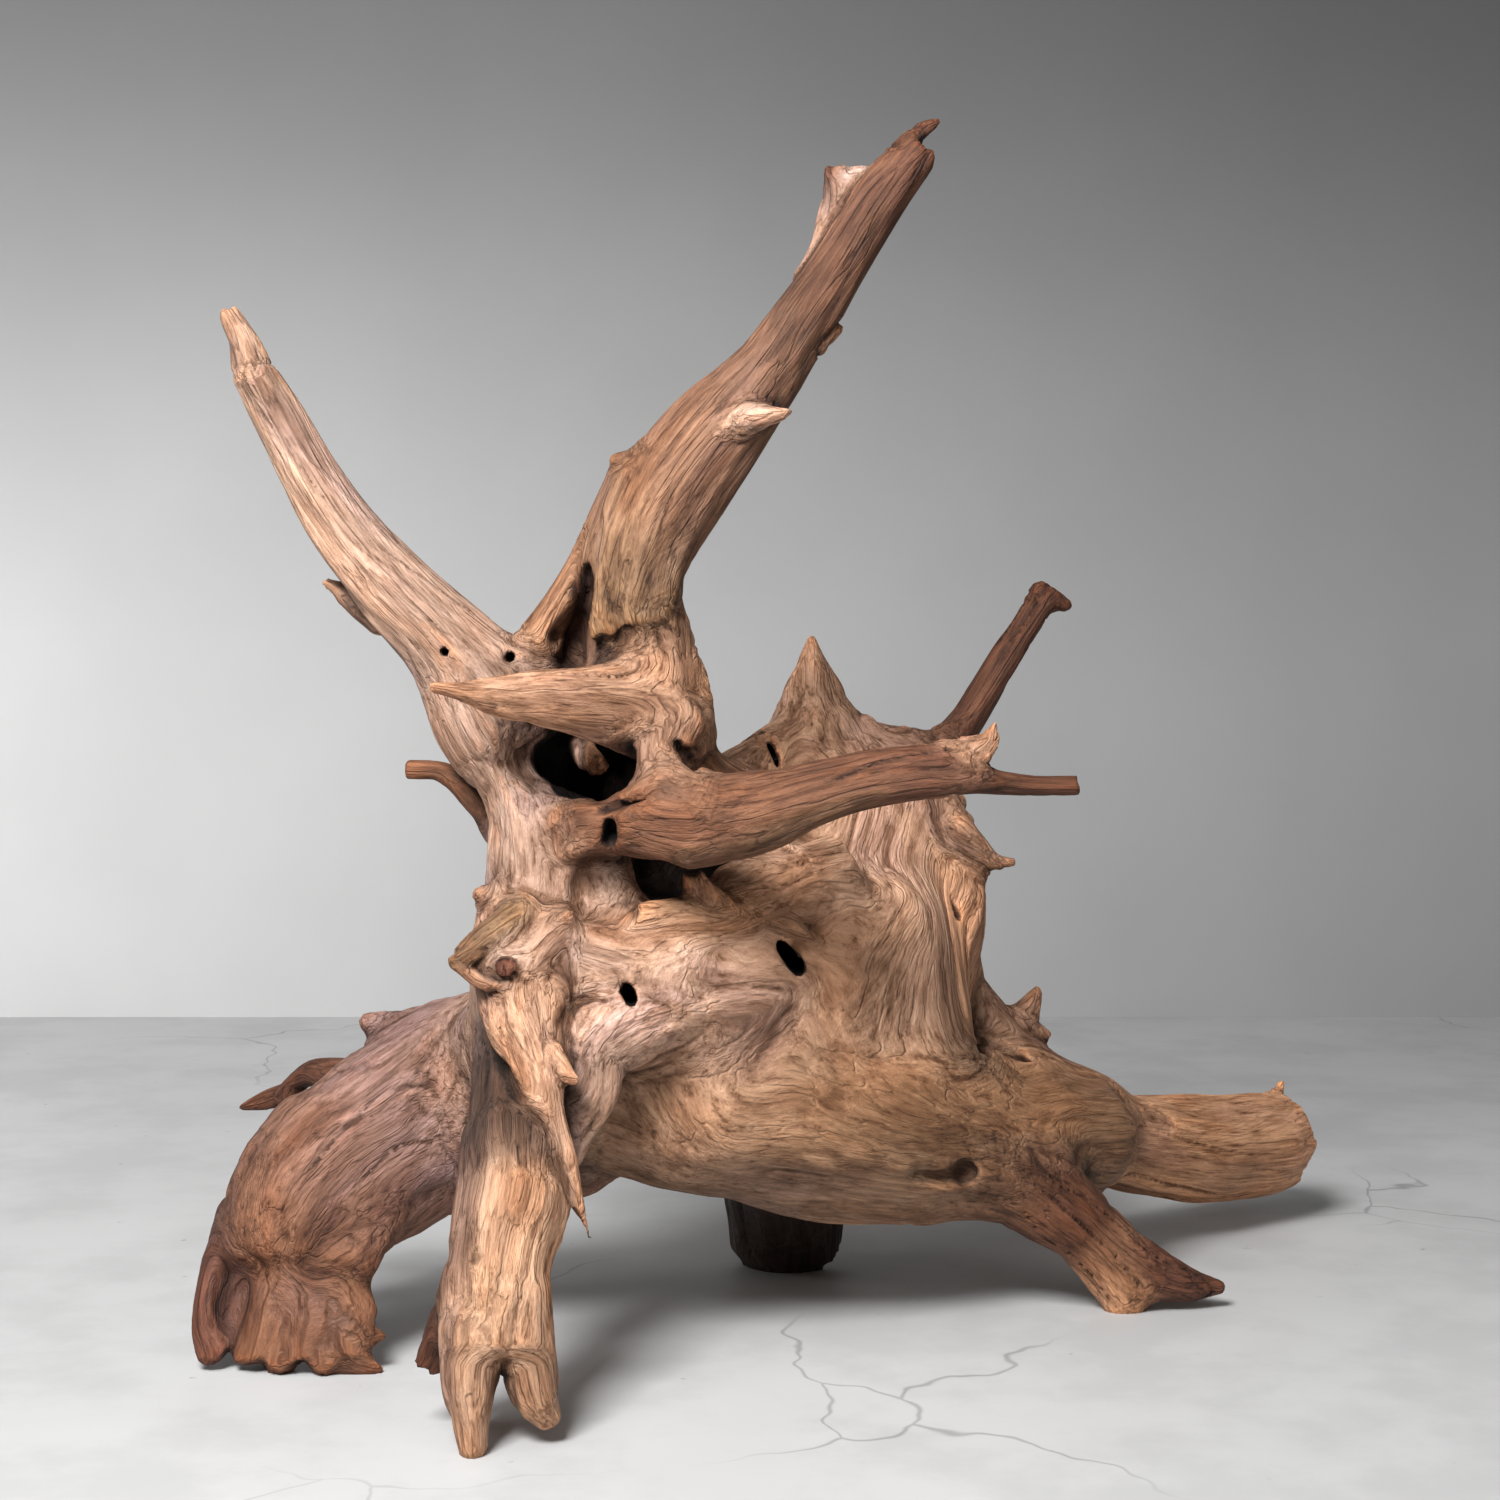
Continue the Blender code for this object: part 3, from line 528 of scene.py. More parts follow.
def cross_pieces():
    """The long bar that crosses in front of the trunk, the root of the spike above it, and the twigs."""
    return tinted(COPPER, [
        Limb([(-.070, -.055, .565, .052, .035), (-.095, -.08, .576, .047, .030)], wide=UP, blend=.02,
             tint=HONEY),
        Limb([(-.150, -.088, .472, .030), (-.120, -.106, .478, .032), (-.086, -.12, .484, .036),
              (-.043, -.13, .480, .038), (.008, -.14, .490, .034, .028), (.059, -.14, .506, .025, .026),
              (.110, -.14, .518, .0229, .024), (.157, -.135, .523, .0212, .021),
              (.196, -.125, .515, .0128, .014), (.240, -.115, .510, .0090, .009),
              (.286, -.105, .509, .0084, .008)], wide=UP, blend=.02, cap=.7, ragged=.004, end_tint=UMBER),
        Limb([(-.050, -.130, .463, .020, .030), (.008, -.138, .475, .020, .027),
              (.059, -.139, .495, .014, .024), (.110, -.139, .510, .011, .021)], wide=UP, blend=.004,
             tint=OLIVE),
        Limb([(-.090, -.120, .496, .020), (-.070, -.125, .508, .024), (-.046, -.125, .500, .026)],
             blend=.014, tint=FAWN),
        Limb([(-.076, -.088, .564, .038, .024), (-.086, -.110, .538, .029, .017),
              (-.092, -.122, .515, .019, .012)], blend=.012, tint=FAWN),
        Limb([(.155, -.133, .525, .018, .011), (.184, -.130, .536, .0187, .009),
              (.202, -.128, .548, .0100, .006), (.210, -.125, .562, .0030, .003)], blend=.012, tint=HONEY),
        Limb([(-.166, -.095, .446, .009), (-.152, -.112, .455, .007), (-.122, -.122, .457, .004)],
             blend=.010, tint=HONEY),
        Limb([(.14, .25, .48, .04, .03), (.205, .30, .53, .021), (.240, .31, .58, .0165),
              (.275, .32, .635, .015), (.308, .33, .685, .015)], blend=.04, cap=.4, tint=UMBER),
        Limb([(.300, .33, .68, .013), (.325, .33, .672, .008)], blend=.008, tint=UMBER),
        Limb([(.07, .25, .50, .06, .025), (.065, .27, .56, .04, .02), (.063, .28, .605, .018),
              (.063, .28, .634, .006)], blend=.03, tint=STRAW),
        Limb([(-.215, .0, .455, .018), (-.247, .0, .492, .014), (-.275, .0, .514, .010),
              (-.309, .0, .518, .009)], blend=.012, cap=.4),
    ])


def rim_roots():
    """The worn root that edges the shield on the right, with its thorns."""
    return tinted(FAWN, [
        Limb([(.19, .22, .46, .022), (.205, .21, .41, .020), (.200, .20, .35, .018),
              (.205, .19, .29, .018), (.24, .20, .25, .022), (.285, .22, .21, .022),
              (.33, .26, .165, .03)], blend=.015),
        Limb([(.20, .2, .44, .025), (.225, .2, .424, .016), (.240, .2, .417, .009),
              (.258, .2, .416, .005)], blend=.015),
        Limb([(.245, .22, .24, .03), (.270, .22, .262, .016), (.285, .22, .286, .005)], blend=.015),
        Limb([(.255, .22, .24, .02), (.285, .22, .245, .010), (.294, .22, .243, .006)], blend=.01),
    ])


def front_leg():
    """The leg that stands forward on three worn toes, and the splintered snout above it."""
    return tinted(AMBER, [
        # Dark at the top: dark wood and painted shade under the snout.
        Limb([(-.195, -.05, .307, .046), (-.202, -.12, .262, .036), (-.198, -.17, .224, .0345),
              (-.195, -.190, .206, .0340)], blend=.04, cap=.5, tint=BURNT_AND_SHADED),
        Limb([(-.195, -.186, .210, .0340), (-.193, -.204, .192, .0345), (-.192, -.220, .177, .0360),
              (-.193, -.232, .163, .0365)], blend=.03, cap=.5, tint=BURNT_AND_SHADED, end_tint=AMBER),
        # Paler towards the toes: painted light.
        Limb([(-.193, -.228, .168, .0362, .036), (-.196, -.25, .144, .0370, .036),
              (-.199, -.28, .111, .0388, .034), (-.200, -.295, .080, .0390, .028)], blend=.03, cap=.4,
             tint=AMBER, end_tint=PALE_AMBER),
        Limb([(-.212, -.205, .205, .020, .018), (-.214, -.245, .160, .020, .018),
              (-.221, -.272, .118, .020, .018), (-.232, -.276, .085, .017, .014)], blend=.014, tint=UMBER),
        Limb([(-.219, -.293, .088, .0236, .024), (-.220, -.302, .051, .0205, .022),
              (-.218, -.309, .028, .0150, .018), (-.216, -.312, .008, .0120, .016)], blend=.010),
        Limb([(-.182, -.278, .111, .0214, .024), (-.175, -.285, .074, .0221, .024),
              (-.169, -.287, .041, .0197, .022), (-.160, -.286, .023, .0120, .015)], blend=.010),
        Limb([(-.226, -.262, .121, .0170, .016), (-.243, -.260, .087, .0160, .013),
              (-.256, -.255, .058, .0130, .010), (-.264, -.252, .046, .0110, .008)], blend=.010, cap=.3,
             ragged=.008, tint=UMBER),
        Limb([(-.207, -.196, .222, .004), (-.210, -.238, .186, .005), (-.208, -.262, .162, .004),
              (-.212, -.285, .140, .008), (-.201, -.292, .118, .007)], blend=.004, tint=UMBER),
        Limb([(.100, .102, .350, .030, .015), (.050, .048, .345, .040, .022),
              (-.005, -.024, .332, .044, .030), (-.052, -.060, .314, .044, .036),
              (-.104, -.100, .309, .048, .036), (-.141, -.129, .286, .040, .032),
              (-.145, -.141, .253, .033, .022), (-.150, -.147, .222, .021, .014),
              (-.150, -.151, .197, .0080, .006)], blend=.030, tint=STRAW, end_tint=SAND),
        Limb([(-.170, -.110, .362, .030, .030), (-.122, -.100, .354, .032, .030),
              (-.075, -.082, .350, .032, .028)], wide=UP, blend=.022, tint=SAND),
        Limb([(-.197, -.085, .375, .046, .040), (-.193, -.122, .340, .0415, .034),
              (-.189, -.152, .312, .0345, .028), (-.181, -.170, .291, .0251, .022),
              (-.174, -.183, .273, .0208, .018), (-.168, -.193, .250, .0141, .013),
              (-.160, -.200, .230, .0099, .010), (-.149, -.208, .206, .0066, .008),
              (-.140, -.216, .176, .0041, .005), (-.131, -.220, .146, .0024, .003)], blend=.014,
             tint=HONEY),
        Limb([(-.164, -.183, .287, .0120, .010), (-.152, -.190, .275, .0083, .008),
              (-.146, -.192, .271, .0045, .005)], blend=.006, tint=HONEY),
        Limb([(-.151, -.085, .403, .0080, .010), (-.163, -.112, .388, .0200, .018),
              (-.179, -.125, .369, .028, .022), (-.193, -.130, .340, .034, .024)], blend=.012, tint=FAWN),
        Limb([(-.168, -.130, .388, .010, .007), (-.156, -.126, .398, .007, .006),
              (-.149, -.118, .404, .003)], blend=.005, tint=FAWN),
        Limb([(-.196, -.115, .397, .0180, .016), (-.218, -.140, .386, .0160, .012),
              (-.237, -.156, .373, .0115, .009), (-.250, -.163, .366, .0050, .005)], blend=.008,
             tint=OLIVE),
        Limb([(-.243, -.158, .360, .0050), (-.226, -.162, .347, .0050), (-.206, -.160, .344, .0050)],
             blend=.010, tint=FAWN),
        Limb([(-.236, -.134, .356, .010, .012), (-.216, -.138, .361, .020, .020),
              (-.194, -.136, .364, .022, .020), (-.172, -.122, .370, .018, .016)], wide=UP, blend=.010,
             tint=SAND),
        Limb([(-.217, -.08, .408, .0150), (-.232, -.085, .412, .0080)], blend=.012, tint=FAWN),
        Limb([(-.013, -.044, .380, .0110, .010), (.013, -.038, .380, .0100, .008),
              (.037, -.024, .374, .0085, .007), (.062, -.008, .360, .0040, .005)], wide=UP, blend=.008,
             tint=TAWNY),
        Limb([(.010, .010, .440, .024, .016), (.030, .012, .418, .022, .014),
              (.048, .016, .395, .016, .012), (.060, .018, .368, .007, .007)], blend=.012, tint=SAND),
    ])


def left_foot():
    """The heavy foot on the left: a bent root whose domed ankle hangs over a flared, splintered fan."""
    return tinted(PLUM, [
        Limb([(-.178, .08, .213, .10, .07), (-.259, .05, .204, .090, .065), (-.319, .02, .187, .082, .06),
              (-.362, -.02, .155, .072, .052), (-.385, -.040, .125, .060, .045)],
             wide=[(-.1, 0, 1), (-.2, 0, 1), (-.4, 0, .9), (-.7, 0, .7), (-1, 0, .3)], blend=.05,
             end_tint=RUSSET),
        Limb([(-.19, .045, .225, .075, .050), (-.24, .020, .212, .075, .048),
              (-.286, .006, .200, .072, .045), (-.33, -.018, .172, .065, .045),
              (-.36, -.034, .150, .050, .040)],
             wide=[(-.1, 0, 1), (-.2, 0, 1), (-.3, 0, .95), (-.5, 0, .85), (-.7, 0, .7)], blend=.04),
        Limb([(-.368, -.018, .165, .074, .050), (-.392, -.034, .138, .073, .048),
              (-.400, -.046, .116, .068, .044), (-.403, -.054, .098, .060, .038)], blend=.03, cap=.7,
             tint=RUSSET),
        Limb([(-.425, -.030, .110, .054, .022), (-.440, -.054, .066, .044, .016),
              (-.452, -.078, .014, .034, .012)], blend=.012, tint=RUST, ragged=.010),
        Limb([(-.446, -.032, .118, .022, .016), (-.468, -.058, .092, .0115, .012),
              (-.476, -.076, .062, .0095, .010), (-.476, -.086, .036, .0100, .009),
              (-.468, -.090, .014, .0120, .009)], blend=.016, tint=RUST),
        Limb([(-.408, -.036, .100, .030, .018), (-.416, -.058, .060, .018, .015),
              (-.428, -.080, .010, .020, .012)], blend=.016, ragged=.008, tint=RUSSET),
        Limb([(-.405, -.050, .095, .030, .022), (-.414, -.080, .052, .020, .016),
              (-.422, -.096, .006, .024, .013)], blend=.012, ragged=.006, tint=RUSSET),
        Limb([(-.395, -.052, .095, .030, .022), (-.388, -.084, .052, .022, .018),
              (-.388, -.100, .006, .026, .014)], blend=.012, ragged=.006, tint=RUST, end_tint=RUSSET),
        Limb([(-.388, -.054, .095, .030, .024), (-.366, -.082, .050, .024, .018),
              (-.352, -.100, .008, .024, .013)], blend=.012, ragged=.006, tint=RUST, end_tint=RUSSET),
        Limb([(-.380, -.052, .090, .028, .026), (-.352, -.078, .058, .022, .020),
              (-.333, -.090, .034, .012, .011), (-.317, -.092, .030, .0030)], blend=.010, tint=RUSSET),
        Limb([(-.365, -.066, .075, .020), (-.342, -.080, .060, .0100), (-.327, -.086, .051, .0030)],
             blend=.008, tint=RUSSET),
        Limb([(-.360, -.094, .018, .018, .012), (-.335, -.097, .007, .0110, .008),
              (-.320, -.096, .002, .0040)], blend=.008, tint=RUSSET),
        Limb([(-.335, -.046, .165, .020, .012), (-.336, -.068, .130, .024, .013),
              (-.345, -.080, .096, .020, .013)], blend=.022, tint=RUSSET),
        Limb([(-.325, .06, .254, .0204), (-.345, .06, .275, .0100), (-.356, .06, .282, .0050)], blend=.016),
        Limb([(-.372, .07, .222, .0240), (-.406, .09, .228, .0141), (-.427, .105, .219, .0100),
              (-.438, .115, .206, .0100), (-.461, .12, .197, .0086), (-.484, .12, .189, .0038)],
             blend=.010, tint=UMBER),
        Limb([(-.434, .11, .203, .0110), (-.430, .11, .188, .0100), (-.412, .10, .172, .0140)], blend=.008,
             tint=UMBER),
        Limb([(-.225, .08, .262, .028), (-.28, .075, .268, .026), (-.325, .07, .262, .018)], blend=.04),
    ])


def right_legs():
    """The short right leg, the long log behind it, and the leg and broken roots at the back."""
    return tinted(TAWNY, [
        Limb([(.12, .08, .18, .06), (.237, .09, .135, .044), (.298, .10, .094, .036),
              (.337, .105, .0605, .029), (.375, .11, .037, .026), (.412, .11, .024, .018),
              (.443, .11, .0205, .007)], blend=.04, tint=UMBER),
        Limb([(.33, .11, .06, .026), (.353, .11, .014, .023)], blend=.02),
        Limb([(.20, .13, .17, .05), (.25, .16, .165, .050), (.308, .22, .146, .048),
              (.392, .32, .114, .050), (.475, .40, .093, .057), (.545, .46, .087, .054),
              (.588, .495, .088, .046)], blend=.045, cap=.5, ragged=.016),
        # The back leg, painted near black: painted shade under the belly.
        Limb([(.021, .12, .206, .066), (.026, .20, .122, .058), (.034, .26, .070, .058),
              (.040, .30, .016, .054)], blend=.05, cap=.5, ragged=.012, tint=SHADE_BLACK),
        Limb([(.560, .485, .118, .014), (.578, .490, .134, .008), (.586, .495, .145, .004)], blend=.010),
        Limb([(.311, .205, .150, .009), (.345, .235, .156, .008), (.389, .270, .148, .008),
              (.415, .295, .136, .007), (.436, .315, .120, .005)], blend=.006, tint=UMBER),
        Limb([(-.08, .12, .38, .06), (-.12, .22, .40, .045), (-.14, .30, .42, .032)], blend=.05, cap=.3),
        Limb([(.10, .2, .30, .06), (.14, .28, .33, .04), (.16, .36, .38, .028)], blend=.04, cap=.3),
    ])


def hollows():
    """The rotted hollows, slots and dishes, and the groove beside the rim. How black each is made is
    painted shade.
    """
    return [
        Limb([(-.162, -.150, .534, .066, .040), (-.160, -.118, .533, .061, .037),
              (-.156, -.085, .530, .048, .030)], blend=.022, carve=True, dark=.0),
        Limb([(-.138, -.105, .530, .036, .030), (-.138, -.070, .530, .044, .034),
              (-.138, -.03, .525, .050, .036), (-.13, .02, .50, .035)], blend=.016, carve=True),
        Limb([(-.078, -.15, .430, .026, .021), (-.076, -.08, .430, .030, .026),
              (-.066, -.02, .430, .036, .028), (-.04, .03, .435, .03)], blend=.008, carve=True),
        # The groove under the bar is painted near black: painted shadow of the bar.
        Limb([(-.066, -.092, .444, .020), (-.034, -.068, .448, .016), (-.004, -.044, .454, .011),
              (.024, -.020, .460, .006)], blend=.008, carve=True, dark=.9),
        Limb([(-.150, -.100, .685, .004, .012), (-.160, -.098, .655, .014, .014),
              (-.174, -.094, .630, .026, .016), (-.182, -.090, .616, .028, .016)], blend=.008, carve=True,
             dark=.15),
        Limb([(-.141, -.085, .697, .003, .018), (-.143, -.085, .674, .007, .026),
              (-.152, -.083, .650, .013, .032), (-.159, -.078, .630, .019, .030)], blend=.006, carve=True),
        Limb([(-.141, -.108, .619, .018, .005), (-.126, -.112, .6215, .016, .0035),
              (-.112, -.112, .6230, .010, .002)], wide=(0, 1, 0), blend=.004, carve=True),
        Limb([(-.055, -.170, .537, .017, .0042), (-.055, -.110, .534, .016, .0042),
              (-.052, -.050, .530, .012, .0035)], wide=(.6, 0, -.8), blend=.005, carve=True),
        Limb([(-.122, -.128, .491, .008, .0024), (-.104, -.142, .494, .009, .0024),
              (-.086, -.152, .498, .008, .002)], wide=(0, 1, .25), blend=.008, carve=True, dark=.3),
        Limb([(-.118, -.170, .476, .0075, .0065), (-.118, -.110, .475, .0070, .006),
              (-.117, -.075, .470, .006, .005)], wide=(.3, 0, 1), blend=.006, carve=True),
        Limb([(-.120, -.170, .466, .0080, .0060), (-.119, -.125, .465, .0070, .006)], blend=.008,
             carve=True, dark=.3),
        Limb([(.034, -.10, .354, .0165, .0046), (.036, .0, .351, .0165, .0048),
              (.038, .07, .345, .010, .005)], wide=(.62, 0, -.78), blend=.004, carve=True),
        Limb([(.153, -.04, .157, .0130, .0090), (.156, -.010, .151, .0110, .0075)], blend=.010, carve=True,
             dark=.5),
        Limb([(.194, .0, .152, .0120, .0085), (.197, .025, .147, .0100, .0070)], blend=.010, carve=True,
             dark=.5),
        Limb([(.163, .0, .148, .0060), (.180, .012, .147, .0055), (.193, .022, .146, .0060)], blend=.008,
             carve=True, dark=.4),
        Limb([(.193, .14, .387, .0025), (.194, .14, .370, .0070, .006), (.195, .14, .352, .0040),
              (.197, .14, .320, .0032), (.197, .14, .285, .0040), (.202, .14, .262, .0058),
              (.220, .145, .249, .0067), (.239, .15, .241, .0077), (.257, .155, .231, .0077),
              (.273, .16, .215, .0029)], blend=.005, carve=True),
        Limb([(-.128, -.160, .422, .028, .030), (-.124, -.106, .417, .030, .034)], blend=.012, carve=True,
             dark=.15),
        Limb([(-.268, -.12, .625, .0040, .0065), (-.266, -.06, .623, .0040)], blend=.004, carve=True),
        Limb([(-.212, -.12, .620, .0045), (-.210, -.06, .618, .0040)], blend=.008, carve=True, dark=.8),
        Limb([(-.395, .050, .241, .0055), (-.407, .052, .226, .0095), (-.418, .060, .205, .0065)],
             blend=.006, carve=True),
        Limb([(-.205, -.330, .116, .0036), (-.208, -.334, .099, .0065), (-.213, -.336, .077, .0080),
              (-.217, -.336, .054, .0050)], blend=.006, carve=True, dark=.6),
        Limb([(.178, -.05, 1.092, .0075), (.164, -.05, 1.081, .0050), (.150, -.055, 1.068, .0030)],
             blend=.005, carve=True, dark=.3),
        Limb([(-.240, -.172, .359, .0032), (-.229, -.168, .367, .0040), (-.216, -.160, .378, .0030),
              (-.200, -.150, .386, .0022)], blend=.005, carve=True, dark=.7),
        Limb([(-.150, -.160, .322, .014, .0030), (-.137, -.150, .332, .016, .0030),
              (-.122, -.145, .339, .014, .0028), (-.108, -.138, .342, .012, .0030)], wide=(0, 1, 0),
             blend=.008, carve=True, dark=.5),
        Limb([(-.105, -.165, .334, .0110, .0040), (-.103, -.100, .331, .0090, .004)], wide=(.4, 0, -.92),
             blend=.003, carve=True),
        Limb([(.326, .070, .052, .0037), (.367, .076, .038, .0047), (.408, .084, .022, .0037)], blend=.006,
             carve=True, dark=.8),
        Limb([(.0108, .19, .5435, .030, .002), (.020, .19, .528, .030, .003),
              (.0266, .19, .511, .030, .002)], wide=(0, 1, 0), blend=.003, carve=True),
    ]


def over_the_hollows():
    """The pointed spike, and the stubs and lips at the hollows, which are added once those are open."""
    return tinted(HONEY, [
        Limb([(-.068, -.045, .570, .050, .035), (-.092, -.075, .576, .046, .030),
              (-.118, -.100, .580, .038, .026), (-.147, -.120, .583, .030, .022),
              (-.177, -.138, .586, .0246, .018), (-.205, -.155, .587, .0189, .0145),
              (-.233, -.172, .590, .0117, .010), (-.250, -.182, .593, .0085, .0070),
              (-.269, -.192, .596, .0058)], wide=UP, blend=.014, cap=.4, ragged=.003),
        Limb([(-.166, .000, .552, .014), (-.150, -.030, .538, .0100), (-.137, -.054, .526, .0095),
              (-.133, -.064, .522, .0100)], blend=.004, cap=.3, ragged=.006, tint=UMBER, end_tint=TAWNY),
        Limb([(-.206, -.140, .360, .0085), (-.204, -.169, .360, .0076)], blend=.001, cap=.3, ragged=.002,
             tint=RUST),
        Limb([(-.026, -.048, .386, .024, .014), (-.038, -.072, .406, .018, .011),
              (-.047, -.087, .423, .0125, .007), (-.050, -.094, .437, .007, .004)], blend=.010,
             ragged=.006, tint=TAWNY, end_tint=CHESTNUT),
        Limb([(-.010, -.046, .374, .028, .014), (-.046, -.076, .386, .025, .012),
              (-.078, -.094, .393, .017, .009), (-.104, -.106, .397, .009, .006)], wide=UP, blend=.014,
             ragged=.009, tint=TAWNY),
        Limb([(-.138, -.066, .444, .024, .016), (-.128, -.068, .405, .028, .016)], blend=.02, tint=ASH),
    ])


def driftwood_limbs():
    """Every limb, in the order in which they are joined and carved."""
    return (trunk() + left_branch() + right_branch() + cross_pieces() + rim_roots() + front_leg()
            + left_foot() + right_legs() + hollows() + over_the_hollows())


def joined_mesh(points, faces):
    """A mesh of the largest joined part, without loose crumbs."""
    mesh = bpy.data.meshes.new("driftwood_wood")
    mesh.from_pydata((points - MIDDLE).tolist(), [], faces.tolist())
    bm = bmesh.new()
    bm.from_mesh(mesh)
    left, parts = set(bm.verts), []
    while left:
        part, edge = set(), [left.pop()]
        while edge:
            v = edge.pop()
            part.add(v)
            for e in v.link_edges:
                other = e.other_vert(v)
                if other in left:
                    left.discard(other)
                    edge.append(other)
        parts.append(part)
    parts.sort(key=len)
    bmesh.ops.delete(bm, geom=[v for part in parts[:-1] for v in part], context="VERTS")
    bm.to_mesh(mesh)
    bm.free()
    return mesh


def thinned(obj, triangles):
    """Collapse edges until about this many triangles are left, keeping the shape."""
    obj.data.calc_loop_triangles()
    thin = obj.modifiers.new("thin", "DECIMATE")
    thin.ratio = min(1.0, triangles / len(obj.data.loop_triangles))
    bpy.context.view_layer.update()
    seen = obj.evaluated_get(bpy.context.evaluated_depsgraph_get())
    mesh = bpy.data.meshes.new_from_object(seen)
    obj.modifiers.clear()
    obj.data = mesh


def store(mesh, name, kind, values):
    """Keep a value for each vertex, for the material to read."""
    field = "vector" if kind == "FLOAT_VECTOR" else "value"
    data = mesh.attributes.new(name, kind, "POINT").data
    data.foreach_set(field, np.ascontiguousarray(values, np.float32).ravel())


# The material darkens shut-in points with dirt and painted shade.
def crevice(points, normals, limbs):
    """How shut in each point is, from 0 to 1, by how fast the wood falls away in front of it."""
    shut = np.zeros(len(points))
    for step, weight in CREVICE_STEPS:
        away = in_pieces(distance_to_wood, points + step * normals, limbs)
        shut += weight * np.clip(1 - away / step, 0, 1)
    return shut


def bend_of(mesh, points, normals):
    """How the surface bends at each point: below zero on crests and edges, above zero in valleys."""
    ends = np.empty(2 * len(mesh.edges), int)
    mesh.edges.foreach_get("vertices", ends)
    a, b = ends.reshape(-1, 2).T
    way = unit(points[b] - points[a])
    count = np.bincount(ends, minlength=len(points))
    bend = (np.bincount(a, (way * normals[a]).sum(1), len(points))
            - np.bincount(b, (way * normals[b]).sum(1), len(points))) / count
    for _ in range(2):
        around = np.bincount(a, bend[b], len(points)) + np.bincount(b, bend[a], len(points))
        bend = 0.5 * bend + 0.5 * around / count
    return bend


def mark_wood(mesh, limbs):
    """Store on the mesh what the wood material reads: the fibres, the tint, bends, crevices and hollows."""
    co = np.empty(len(mesh.vertices) * 3)
    mesh.vertices.foreach_get("co", co)
    normals = np.empty_like(co)
    mesh.vertices.foreach_get("normal", normals)
    points, normals = co.reshape(-1, 3) + MIDDLE, normals.reshape(-1, 3)
    rows = in_pieces(fibre_frame, points, limbs)
    store(mesh, "bend", "FLOAT", bend_of(mesh, points, normals))
    store(mesh, "girth", "FLOAT", np.clip(rows[:, 7] / 0.08, 0, 1))
    store(mesh, "across", "FLOAT_VECTOR", rows[:, :3])
    store(mesh, "along", "FLOAT", rows[:, 3])
    store(mesh, "tint", "FLOAT_VECTOR", rows[:, 4:7])
    store(mesh, "crevice", "FLOAT", crevice(points, normals, limbs))
    store(mesh, "hollow", "FLOAT", in_pieces(hollow_darkness, points, limbs))
    store(mesh, "crack", "FLOAT", cracked(rows, points))


def grow_wood(wood):
    """The whole root as one closed mesh."""
    limbs = driftwood_limbs()
    grid, low = grid_of(limbs, wood.grid_step)
    points, faces = surface_of(untangled(grid, wood.grid_step), low, wood.grid_step)
    points = weathered(points, faces, limbs, wood)
    obj = bpy.data.objects.new("driftwood_wood", joined_mesh(points, faces))
    bpy.context.scene.collection.objects.link(obj)
    thinned(obj, wood.triangles)
    for v in obj.data.vertices:
        if v.co.z < SOLE:
            v.co.z = 0.0
    obj.data.shade_smooth()
    mark_wood(obj.data, limbs)
    return obj


def add(tree, kind, inputs=None, **settings):
    """Add a node, with its settings and its inputs: a value, or another node's output."""
    node = tree.nodes.new(kind)
    for name, value in settings.items():
        setattr(node, name, value)
    for name, value in (inputs or {}).items():
        if isinstance(value, bpy.types.NodeSocket):
            tree.links.new(value, node.inputs[name])
        else:
            node.inputs[name].default_value = value
    return node


def math(tree, operation, a, b=0.0, clamp=False):
    """One step of sums in a node tree."""
    return add(tree, "ShaderNodeMath", {0: a, 1: b}, operation=operation, use_clamp=clamp).outputs[0]


def remap(tree, value, low, high, out_low=0.0, out_high=1.0):
    """Turn a value's range into another one, with soft ends."""
    node = add(tree, "ShaderNodeMapRange", {"Value": value, "From Min": low, "From Max": high,
                                            "To Min": out_low, "To Max": out_high},
               interpolation_type="SMOOTHSTEP")
    return node.outputs["Result"]


def mix(tree, share, a, b, blend="MIX"):
    """Mix two colours by this share of the second."""
    node = add(tree, "ShaderNodeMix", data_type="RGBA", blend_type=blend, clamp_factor=True)
    sockets = {s.name + s.type: s for s in node.inputs if s.enabled}
    for socket, value in ((sockets["FactorVALUE"], share), (sockets["ARGBA"], a), (sockets["BRGBA"], b)):
        if isinstance(value, bpy.types.NodeSocket):
            tree.links.new(value, socket)
        else:
            socket.default_value = value
    return next(s for s in node.outputs if s.type == "RGBA" and s.enabled)


def new_group(name, inputs, outputs):
    """A shader node group with its sockets; an input is its name, kind and default."""
    group = bpy.data.node_groups.new(name, "ShaderNodeTree")
    for label, kind, value in inputs:
        socket = group.interface.new_socket(label, in_out="INPUT", socket_type="NodeSocket" + kind)
        socket.default_value = value
    for label, kind in outputs:
        group.interface.new_socket(label, in_out="OUTPUT", socket_type="NodeSocket" + kind)
    return group, group.nodes.new("NodeGroupInput").outputs, group.nodes.new("NodeGroupOutput").inputs


def fibre_noise(tree, across, along, scale, stretch, detail=2.0, rough=0.5, warp=0.0):
    """Noise drawn out along the fibres: stretch is its rate along them beside its rate across."""
    vector = add(tree, "ShaderNodeVectorMath", {0: across, "Scale": scale}, operation="SCALE").outputs[0]
    way = math(tree, "MULTIPLY", along, scale * stretch)
    return add(tree, "ShaderNodeTexNoise", {"Vector": vector, "W": way, "Scale": 1.0, "Detail": detail,
                                            "Roughness": rough, "Distortion": warp},
               noise_dimensions="4D").outputs[0]


